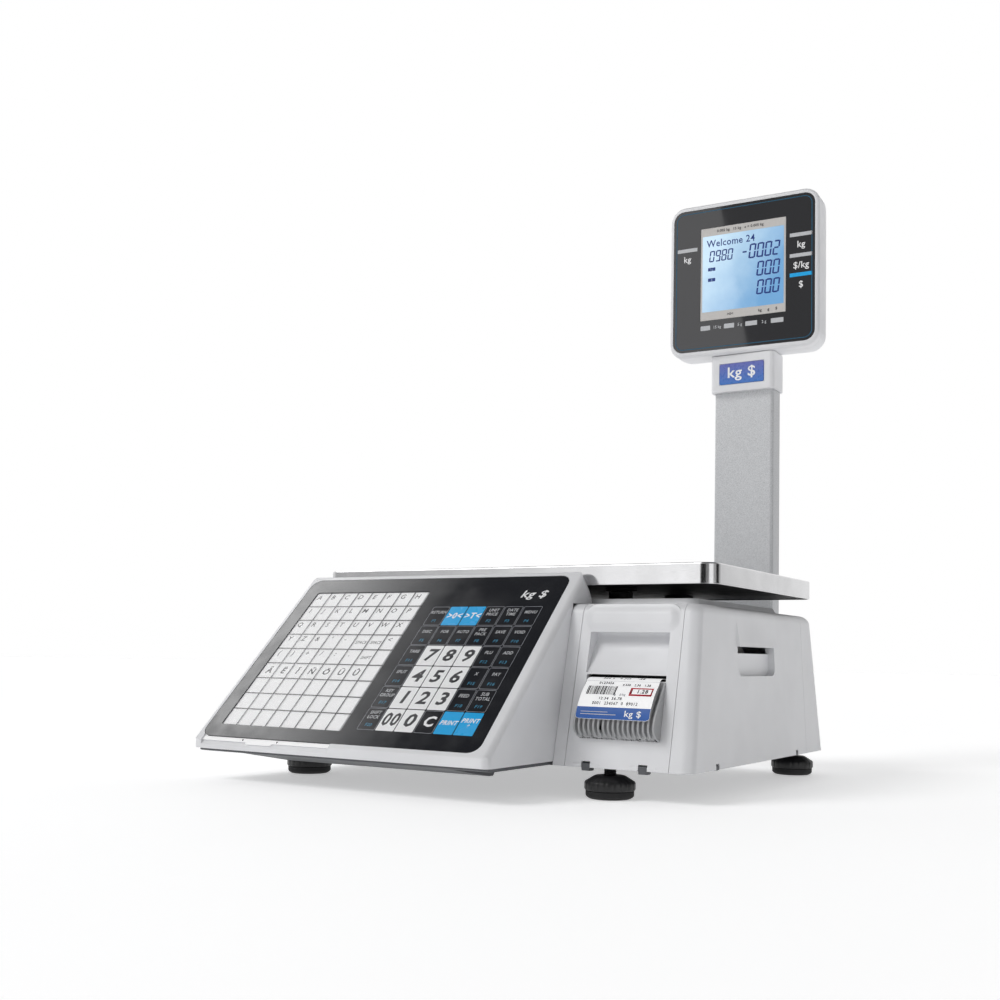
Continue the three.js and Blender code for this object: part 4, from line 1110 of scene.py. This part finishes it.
def overlay_print(raised, thickness):
    """Ink on the key panel, raised above the overlay's face."""
    def place(u, v, lift):
        return (u, *slant_point(v, OVERLAY["top"] + (raised + lift)))
    return Print(place, thickness)


def keypad_overlay():
    outline = soft(spans("keypad_overlay")[0], (0, KEYS_LENGTH), OVERLAY["radius"])
    plate = prism("z", outline, (OVERLAY["under"], OVERLAY["top"]))
    window = prism("z", soft(WINDOW["u"], WINDOW["v"], 2.0), (-5, 5))
    plate = on_slant(cut(plate, window))
    piece("key_overlay", plate, "overlay", replaces=["keypad_overlay"], bevel=0.12)
    film = soft(grown(WINDOW["u"], -0.15), grown(WINDOW["v"], -0.15), 2.0)
    piece("key_window_film", on_slant(prism("z", film, FILM)), "film", bevel=0)


def speed_grid():
    """The mask printed under the clear window: a dark border and the thin lines between the speed keys."""
    mask = overlay_print(FILM[0], 0.1)
    (u0, u1), (v0, v1) = SPEED["u"], SPEED["v"]
    (a, b), (c, d) = WINDOW["u"], WINDOW["v"]
    for us, vs in (((a, b), (c, v0)), ((a, b), (v1, d)), ((a, u0), (v0, v1)), ((u1, b), (v0, v1))):
        mask.rect("overlay", us, vs)
    half = SPEED["line"] / 2
    for i in range(1, SPEED["columns"]):
        u = u0 + (u1 - u0) * i / SPEED["columns"]
        mask.rect("overlay", (u - half, u + half), (v0, v1))
    for j in range(1, SPEED["rows"]):
        v = v0 + (v1 - v0) * j / SPEED["rows"]
        mask.rect("overlay", (u0, u1), (v - half, v + half))
    mask.build("speed_mask", "overlay", "base")


def key_sheet():
    """The printed card behind the clear window, which slides out at the front edge."""
    page = prism("z", rectangle(spans("key_sheet")[0], CARD["v"]), CARD["depth"])
    tab = prism("z", soft(CARD["tab"], (-5.6, 1.4), (2, 2, 0, 0)), CARD["depth"])
    piece("speed_card", on_slant(join(page, tab)), "paper", "key_page", ["key_sheet"], bevel=0)
    ink = overlay_print(CARD["depth"][1] - OVERLAY["top"], 0.05)
    (u0, u1), (v0, v1) = SPEED["u"], SPEED["v"]
    wide, tall = (u1 - u0) / SPEED["columns"], (v1 - v0) / SPEED["rows"]
    for r, row in enumerate(SPEED_LEGENDS):
        for c, legend in enumerate(row):
            if not legend:
                continue
            accented, word = r == 5, len(legend) > 1
            size, squeeze = (5.0, 0.8) if word else (9.0 if accented else 7.5, 1.0)
            share = 0.5 if accented or word else 0.3
            u, v = u0 + wide * (c + share), v1 - tall * (r + share)
            ink.text("black_ink", legend, u, v, size, 0.12, squeeze, weight=0.02 if accented else 0.008)
    for u in grown(CARD["tab"], 4.5):
        ink.shape("black_ink", [(u - 1.3, -1.2), (u + 1.3, -1.2), (u, -3.2)])
    ink.build("speed_card_print", "paper", "key_page")


def function_keys():
    ink, marks = overlay_print(0, 0.06), overlay_print(0.06, 0.05)
    (u0, u1), (v0, v1) = FUNCTION["u"], FUNCTION["v"]
    wide, tall = (u1 - u0) / FUNCTION["columns"], (v1 - v0) / FUNCTION["rows"]
    gap = FUNCTION["gap"] / 2
    count = 0
    for r, row in enumerate(FUNCTION_LEGENDS):
        for c, legend in enumerate(row):
            us = (u0 + wide * c + gap, u0 + wide * (c + 1) - gap)
            vs = (v1 - tall * (r + 1) + gap, v1 - tall * r - gap)
            u, v = sum(us) / 2, sum(vs) / 2
            if (r, c) in WHITE_KEYS:
                ink.rect("white_ink", us, vs, 0.8)
                squeeze = 1.08 if len(legend) == 1 else 0.78
                marks.text("black_ink", legend, u, v, 18.0, 0.12, squeeze, weight=0.028)
            elif (r, c) in BLUE_KEYS:
                ink.rect("blue_ink", us, vs, 0.8)
                size, lean = (9.5, 0.1) if r == 0 else (6.0, 0.2)
                marks.text("white_ink", legend, u, v, size, lean, 0.86, weight=0.025)
            else:
                ink.outline("grey_ink", us, vs, 0.35, 1.2)
                count += 1
                if legend == "C":
                    ink.text("white_ink", legend, u, v, 14.0, 0.1, weight=0.03)
                    continue
                ink.text("silver_ink", legend, u, v + 4.4, 4.8, 0.08, 0.84)
                ink.text("teal_ink", f"F{count}", u, v - 6.0, 4.4, 0.08)
    ink.text("white_ink", "kg $", 50, 170, 12.0, 0.2, squeeze=1.1, weight=0.014)
    ink.build("function_keys", "overlay", "base")
    marks.build("function_legends", "overlay", "base")


# ---- weighing platter
TRAY = {"radius": 13.0, "sheet": 1.2, "edge": 1.6}
TRAY_SPANS = spans("platter")


def tray_outline(inset):
    xs, ys = (grown(span, -inset) for span in TRAY_SPANS[:2])
    return soft(xs, ys, TRAY["radius"] - inset, 14)


def platter():
    """A pressed steel tray: flat top, rounded shoulder and a plain skirt with its lower edge broken."""
    (low, top), edge = TRAY_SPANS[2], TRAY["edge"]
    levels = [(0.25, low), (0, low + 0.3)]
    levels += [(edge * inward, top - edge * down) for down, inward in turned(6)]
    rings = [[(x, y, z) for x, y in tray_outline(inset)] for inset, z in levels]
    body = cut(loft(rings), prism("z", tray_outline(TRAY["sheet"]), (0, top - TRAY["sheet"])))
    piece("steel_platter", body, "steel", "tray", ["platter"], bevel=0)


# ---- pole and display head
POLE_X, POLE_Y, _ = centre("pole_tube")


def around_pole(half_x, half_y):
    return (POLE_X - half_x, POLE_X + half_x), (POLE_Y - half_y, POLE_Y + half_y)


def pole_tube():
    xs, ys, zs = spans("pole_tube")

    def ring(inset):
        return soft(grown(xs, -inset), grown(ys, -inset), 3 - inset / 2)
    body = cut(prism("z", ring(0), zs), prism("z", ring(1.8), (0, 500)))
    piece("pole", body, "pole", replaces=["pole_tube"], bevel=0.2)


def pole_bracket():
    xs, ys, zs = spans("pole_bracket")
    outer = prism("z", soft(xs, (190.6, ys[1]), 5), zs)
    foot = [(192, zs[0]), (192, zs[1])] + [(rear_face(z) + TOUCH, z) for z in reversed(zs)]
    inner = block(*around_pole(32.05, 11.95), (50, 200))
    body = cut(join(outer, prism("x", foot, (POLE_X - 28, POLE_X + 28))), inner)
    shell_piece("bracket", body, "pole_bracket", 0.8)


def head_collar():
    xs, ys, (low, high) = spans("head_collar")
    top = high - 13.6
    body = prism("z", soft(xs, ys, 4.5), (low, top))
    inner = block(*around_pole(32.1, 12), (300, 410))
    neck = rod("z", 7, (top - 1, high), (POLE_X, POLE_Y))
    bore = rod("z", 4.6, (400, 450), (POLE_X, POLE_Y))
    seat = block((POLE_X - 24.3, POLE_X + 24.3), (ys[0] - 1, ys[0] + 1), (391.4, 413.6))
    shell_piece("collar", cut(join(body, neck), inner, bore, seat), "head_collar", 0.9)


HEAD = {"turn": 0.05, "width": 160.0, "radius": 16.0, "split": 12.0, "depth": 46.2, "wall": 2.6,
        "edge_depth": 4.2, "edge_inset": 3.4}
HEAD_Z = spans("head_front_shell")[2]
WINDOW_MIDDLE = 1.15  # depth of the window's middle behind the head's front
SCREEN = {"width": 151.0, "height": 152.0, "radius": 11.0, "middle": centre("display_window")[2]}
CUSTOMER = {"width": 122, "height": 116, "radius": 9}
LCD = {"width": 91.5, "height": 99.0, "middle": SCREEN["middle"] + 5.2}
HEAD_TURN = Matrix.Rotation(HEAD["turn"], 4, "Z")
window_centre = Vector((*centre("display_window")[:2], 0))
ON_HEAD = Matrix.Translation(window_centre - HEAD_TURN @ Vector((0, WINDOW_MIDDLE, 0))) @ HEAD_TURN


def head_ring(depth, inset):
    half = HEAD["width"] / 2 - inset
    outline = soft((-half, half), grown(HEAD_Z, -inset), max(HEAD["radius"] - inset / 2, 3), 10)
    return [(x, depth, z) for x, z in outline]


def panel(width, height, middle, radius, depth):
    outline = rectangle((-width / 2, width / 2), (middle - height / 2, middle + height / 2))
    return prism("y", rounded(outline, radius), depth)


def head_front():
    split, wall = HEAD["split"], HEAD["wall"]
    deep, inset = HEAD["edge_depth"], HEAD["edge_inset"]
    rings = [head_ring(split, 0), head_ring(deep, 0)]
    rings += [head_ring(deep * down, inset * inward) for down, inward in turned(QUARTER, 1)]
    hollow = loft([head_ring(split + 1, wall), head_ring(5, wall)])
    wide, tall = SCREEN["width"] + 2 * TOUCH, SCREEN["height"] + 2 * TOUCH
    recess = panel(wide, tall, SCREEN["middle"], SCREEN["radius"], (-1, 2.4))
    opening = panel(LCD["width"] + 2, LCD["height"] + 2, LCD["middle"], 0, (-1, 8))
    body = transformed(cut(loft(rings), hollow, recess, opening), ON_HEAD)
    shell_piece("head_front", body, "head_front_shell", 0.25, 2, "display_head")


def head_rear():
    split, depth, wall = HEAD["split"], HEAD["depth"], HEAD["wall"]

    def form(inset):
        back = [(depth, 15), (depth - 3, 8.5), (depth - 9, 3), (depth - 17, 0.6), (depth - 24, 0)]
        rings = [head_ring(v - inset, i + inset) for v, i in smooth_path(back, 4)]
        rings.append(head_ring(split - 2 if inset else split + TOUCH, inset))
        return loft(rings)
    pivot = ON_HEAD.inverted() @ Vector((POLE_X, POLE_Y, 0))
    hole = rod("z", 7.5, (400, 440), (pivot.x, pivot.y))
    wide, tall = CUSTOMER["width"] + 2 * TOUCH, CUSTOMER["height"] + 2 * TOUCH
    recess = panel(wide, tall, SCREEN["middle"], CUSTOMER["radius"], (depth - 2.4, depth + 5))
    opening = panel(LCD["width"] + 2, LCD["height"] - 10, SCREEN["middle"], 0, (depth - 12, depth + 5))
    body = transformed(cut(form(0), form(wall), hole, recess, opening), ON_HEAD)
    shell_piece("head_rear", body, "head_rear_shell", 0.4, 2, "display_head")


def operator_figures(ink, half_w, half_h):
    ink.text("lcd_ink", "Welcome 24", -13, 32.0, 10.5, squeeze=0.9)
    ink.digits("lcd_ink", "0.980", -9.5, 18.5, 12.0, 6.6)
    for reading, v in (("-0.002", 18.5), ("0.00", -1.0), ("0.00", -20.5)):
        ink.digits("lcd_ink", reading, half_w - 5, v, 15.5, 8.4)
    for word, v in (("kg", 4.8), ("$", -6.4)):
        ink.rect("lcd_ink", (-37.5, -29.5), (v - 1.8, v + 1.8), 0.5)
        ink.text("lcd", word, -33.5, v, 3.2)
    ink.text("black_ink", "0.005 kg   15 kg   e = 0.005 kg", -3, half_h - 4.3, 4.0, squeeze=0.95)
    for words, u in ((">0<", -13), ("kg     g     $", 27)):
        ink.text("black_ink", words, u, -half_h + 4.4, 4.0)


def customer_figures(ink, half_w):
    for v in (22, 0, -22):
        ink.digits("lcd_ink", "0.00" if v < 20 else "-0.002", half_w - 5, v, 15.0, 8.6)


def window_legends(legends):
    """What is printed on the operator's window, round the display."""
    line, drop = 2.6, SCREEN["middle"] - LCD["middle"]
    half_w, half_h = SCREEN["width"] / 2 - line, SCREEN["height"] / 2 - line
    legends.outline("deep_teal_ink", (-half_w, half_w), (drop - half_h, drop + half_h), 0.8,
                    SCREEN["radius"] - line, 8)
    right, left = (49.8, 73.0), (-71.5, -49.5)
    for v, strip, word in ((28.5, "silver_ink", "kg"), (7.0, "silver_ink", "$/kg"), (-13.0, "blue_ink", "$")):
        legends.rect(strip, right, (v - 1.9, v + 1.9))
        legends.text("white_ink", word, sum(right) / 2, v - 10.4, 9.4, squeeze=0.95)
    legends.rect("silver_ink", left, (26.6, 30.4))
    legends.text("white_ink", "kg", sum(left) / 2, 18.5, 9.0, squeeze=0.95)
    for us in ((-45, -34.5), (-19.5, -8.5), (3.5, 16.0), (30.5, 43.5)):
        legends.rect("silver_ink", us, (-59.8, -55.0), 0.6)
    for u, words in ((-27, "15 kg"), (-2.5, "5 g"), (23.2, "2 g")):
        legends.text("silver_ink", words, u, -57.4, 4.2, squeeze=0.9)


def display(operator):
    """The dark window and the lit display behind it, on the operator's side or on the customer's."""
    name, window, middle, tall, here = "display", SCREEN, LCD["middle"], LCD["height"], ON_HEAD
    if not operator:
        name, window, middle, tall = "customer", CUSTOMER, SCREEN["middle"], LCD["height"] - 12
        here = ON_HEAD @ Matrix.Translation((0, HEAD["depth"], 0)) @ Matrix.Rotation(math.pi, 4, "Z")

    def add(part, made, finish, node, bevel):
        made = transformed(made, here)
        piece(f"{name}_{part}", made, finish, "display_head", [f"{name}_{node}"], bevel)

    def ink_at(depth, raised, thickness):
        def place(u, v, lift):
            return tuple(here @ Vector((u, depth - (raised + lift), middle + v)))
        return Print(place, thickness)
    opening = panel(LCD["width"], tall, middle, 0.6, (-5, 5))
    pane = panel(window["width"], window["height"], SCREEN["middle"], window["radius"], (0.2, 2.1))
    add("glass", cut(pane, opening), "screen", "window", 0.15)
    half_w, half_h = LCD["width"] / 2 - 0.15, tall / 2 - 0.15
    add("module", panel(2 * half_w, 2 * half_h, middle, 0.5, (0.5, 9.5)), "bezel_ink", "lcd", 0.1)

    glow = ink_at(0.5, 0, 0.12)
    glow.rect("lcd", (-half_w + 2, half_w - 2), (-half_h + 9.0, half_h - 8.7), 0.8)
    glow.build(f"{name}_light", "lcd", "display_head")
    ink = ink_at(0.5, 0.12, 0.04)
    if operator:
        operator_figures(ink, half_w, half_h)
    else:
        customer_figures(ink, half_w)
    ink.build(f"{name}_figures", "lcd", "display_head")
    if operator:
        legends = ink_at(0.2, 0, 0.05)
        window_legends(legends)
        legends.build("display_legends", "screen", "display_head")


# ---- levelling feet
FOOT = {"sole_top": 5.8, "flutes": 20, "pitch": 1.5, "stud": 5.0, "groove": 0.75}


def threaded_rod(span, at, radius, pitch, around=24):
    """A rod whose surface is a true helix."""
    steps = math.ceil((span[1] - span[0]) / (pitch / 5))
    rings = []
    for k in range(steps + 1):
        z = span[0] + (span[1] - span[0]) * k / steps
        ring = []
        for i in range(around):
            angle = 2 * math.pi * i / around
            phase = (z / pitch - i / around) % 1.0
            depth = abs(phase - 0.5) * 2
            reach = radius - FOOT["groove"] * depth * min(1.0, span[1] - z + 0.2)
            ring.append((at[0] + reach * math.cos(angle), at[1] + reach * math.sin(angle), z))
        rings.append(ring)
    return loft(rings)


def foot(name):
    at = centre(f"foot_sole_{name}")[:2]
    stud_top = node_box(f"foot_wheel_{name}")[1].z
    edge = [(15.4, 0), (16.2, 0.25), (17.8, 1.3), (18.5, 2.2), (18.6, 3.0), (18.6, FOOT["sole_top"])]
    sole = lathe(edge, at)
    grooves = [cut(rod("z", r + 0.6, (-1, 0.5), at), rod("z", r - 0.6, (-2, 1), at)) for r in (6, 11)]
    piece(f"rubber_sole_{name}", cut(sole, *grooves), "rubber", f"foot_{name}",
          [f"foot_sole_{name}"], 0.15)

    def flute(angle):
        return 1 - 0.028 * max(0.0, math.cos(FOOT["flutes"] * angle)) ** 6
    profile = [(18.4, 6.1, 0), (19.0, 6.4, 0), (19.6, 7.4, 1), (19.6, 12.0, 1), (19.1, 12.9, 1),
               (12.2, 17.1, 0), (11.0, 17.5, 0), (6.4, 17.5, 0), (5.6, 17.9, 0)]
    rings = []
    for radius, z, knurled in profile:
        rings.append([(x, y, z) for x, y in circle(radius, at, 120, flute if knurled else None)])
    wheel = join(loft(rings), threaded_rod((17, stud_top), at, FOOT["stud"], FOOT["pitch"]))
    piece(f"foot_knob_{name}", wheel, "foot", f"wheel_{name}", [f"foot_wheel_{name}"], bevel=0)


# ---- fasteners and small fittings
def screw(radius, height):
    """A pan-head screw with a cross recess, its head on the origin and facing +Z."""
    rings = []
    for k in range(6):
        turn = math.pi / 2 * k / 6
        reach = radius * math.cos(turn) ** 0.45
        rings.append([(x, y, height * math.sin(turn)) for x, y in circle(reach, (0, 0), 32)])
    rings.insert(0, [(x, y, -0.4) for x, y in circle(radius, (0, 0), 32)])
    arm, bar = (-radius * 0.6, radius * 0.6), (-radius * 0.17, radius * 0.17)
    recess = (height * 0.35, height * 2)
    return cut(loft(rings), block(arm, bar, recess), block(bar, arm, recess))


def screws(name, places, direction, radius, height, body="base"):
    """Screws with their heads at the given points, all facing one way, as one object."""
    turn = facing(direction)
    heads = []
    for i, at in enumerate(places):
        spin = Matrix.Rotation(0.7 * i, 4, "Z")
        heads.append(transformed(screw(radius, height), Matrix.Translation(at) @ turn @ spin))
    piece(name, merged(heads), "screw", body, bevel=0)


def badge_marks():
    """Raised marks on the badge under the display."""
    x, _, z = centre("collar_badge")
    front = node_box("collar_badge")[0].y
    marks = Print(lambda u, v, lift: (x + u, front - lift, z + v), 0.25)
    marks.text("white_ink", "kg $", 0, 0.6, 15.5, squeeze=1.1, weight=0.014)
    marks.build("badge_marks", "badge", "base")


def fasteners():
    plate_under = 22.6
    spots = [(x, y, plate_under) for x in (-188, -60, 60, 188) for y in (-100, 20, 120)]
    clear_of_feet = [p for p in spots if not (abs(p[0]) > 150 and p[1] > 110)]
    screws("pan_screws", clear_of_feet, (0, 0, -1), 3.6, 1.6)
    back = node_box("pole_bracket")[1].y
    bracket_screws = [(POLE_X + dx, back, z) for dx in (-24, 24) for z in (58, 108)]
    screws("bracket_screws", bracket_screws, (0, 1, 0), 3.6, 2.0)
    depth = HEAD["depth"] - 4.4
    corners = [(sx * 66.5, depth, SCREEN["middle"] + sz * 67.5) for sx in (-1, 1) for sz in (-1, 1)]
    screws("head_screws", [ON_HEAD @ Vector(c) for c in corners], HEAD_TURN @ Vector((0, 1, 0)), 2.8, 1.4,
           body="display_head")
    cell_front = node_box("load_cell")[0].y
    spider_top = 130
    bolts = [(x, cell_front + 18 + dy, spider_top) for x in (46, 62) for dy in (-9, 9)]
    screws("cell_bolts", bolts, (0, 0, 1), 4.2, 3.2)
    plate_face = node_box("printer_chassis")[1].x
    plate_screws = [(plate_face, y, z) for y, z in ((-104, 36), (-68, 36), (-68, 102), (-104, 112))]
    screws("chassis_screws", plate_screws, (1, 0, 0), 2.6, 1.4)


def roll_web():
    """Label web from the roll up to the print line over the platen."""
    roll_xs, _, roll_zs = spans("label_roll")
    _, roll_y, roll_z = centre("label_roll")
    roll_r = (roll_zs[1] - roll_zs[0]) / 2
    _, platen_y, platen_z = centre("platen_roller")
    path = [(roll_y - roll_r * math.sin(a), roll_z - roll_r * math.cos(a)) for a in (0.2, 0.5, 0.8)]
    path = [(y - 0.2, z - 0.2) for y, z in path]
    path += [(-60, 58.0), (platen_y + 14, platen_z + 2)]
    path += [(platen_y + 4, platen_z + 8.15), (platen_y - 3, platen_z + 8.0)]
    web = Ribbon(smooth_path(path, 4)).sheet(grown(roll_xs, -1), 0.15, step=3)
    piece("label_web", web, "paper", bevel=0)


def kept_nodes():
    """CAD nodes whose shape is right as it is: their edges are rounded and they get a real material."""
    edges = {
        # The console's bottom is light grey plastic: its dark underside finish here is painted shade.
        "underside": {"base_pan": 0.4, "console_bottom": 0.6},
        "zinc": {"port_panel": 0.3, "chassis_plate": 0.4, "cell_block": 0.5, "tray_spider": 0.9,
                 "power_supply": 0.4, "printer_chassis": 0.2, "stepper_motor": 0.4},
        "black": {"power_inlet": 0.3, "power_rocker": 0.5, "roll_spindle": 0.4, "roll_guide": 0.3,
                  "rewind_spool": 0.3},
        "nylon": {"key_membrane": 0.1, "platen_gear": 0.12, "idler_gear": 0.12},
        "board": {"keypad_board": 0.15, "main_board": 0.2, "display_board": 0.15},
        "aluminium": {"load_cell": 0.5, "print_head": 0.3},
        "rubber": {"platen_roller": 0.3, **{f"tray_cup_{i}": 0.4 for i in range(1, 5)}},
        "tray_black": {"sub_tray": 0.3},
        "vial": {"spirit_level": 0.4},
        "brass": {"motor_pinion": 0.1},
        "lever": {"head_lever": 0.6},
        "roll": {"label_roll": 0.2},
        "badge": {"collar_badge": 0.35},
    }
    for finish, nodes in edges.items():
        for node, bevel in nodes.items():
            dress(frame["nodes"][node], finish, bevel)


# ---- assembly
add_camera()
add_floor()
add_world()
add_sun((0.45, 0.62, -0.72), 1.15, 28)
upright = Matrix.Rotation(math.radians(90), 4, "X")
leaning = Matrix.Rotation(math.radians(-11), 4, "Y") @ upright
sideways = facing((-1226, 651, 0))
add_glow("key_card", (-1015, -149, 1100), Matrix.Rotation(math.radians(-28.2), 4, "Z"), (0.45, 0.8),
         5.9, 1.2, (-0.144, 0.389))
add_glow("head_card", (-924, -1400, 910), leaning, (1.2, 0.75), 1.15)
add_glow("tray_card", (-825, -1400, 325), upright, (1.35, 0.55), 0.51, 1.29, (-0.248, 0.336))
add_glow("right_card", (1422, -733, 250), sideways, (0.8, 1.2), 1.2)
add_flag("front_flag", (325, -1400, 350), (0, 1, 0), (0.95, 0.6))
add_flag("right_flag", (1468, 495, 250), (196 - 1468, -82 - 495, 0), (0.65, 1.2))

for build in (top_cover, rear_cover, side_door, printer_door, peel_comb, issued_label, console_housing,
              keypad_overlay, speed_grid, key_sheet, function_keys, platter, pole_tube, pole_bracket,
              head_collar, head_front, head_rear):
    build()
for operator in (True, False):
    display(operator)
for corner in ("front_left", "front_right", "rear_left", "rear_right"):
    foot(corner)
for build in (fasteners, badge_marks, roll_web, kept_nodes):
    build()

view = bpy.context.scene.view_settings
view.view_transform = "Standard"
view.look = "None"
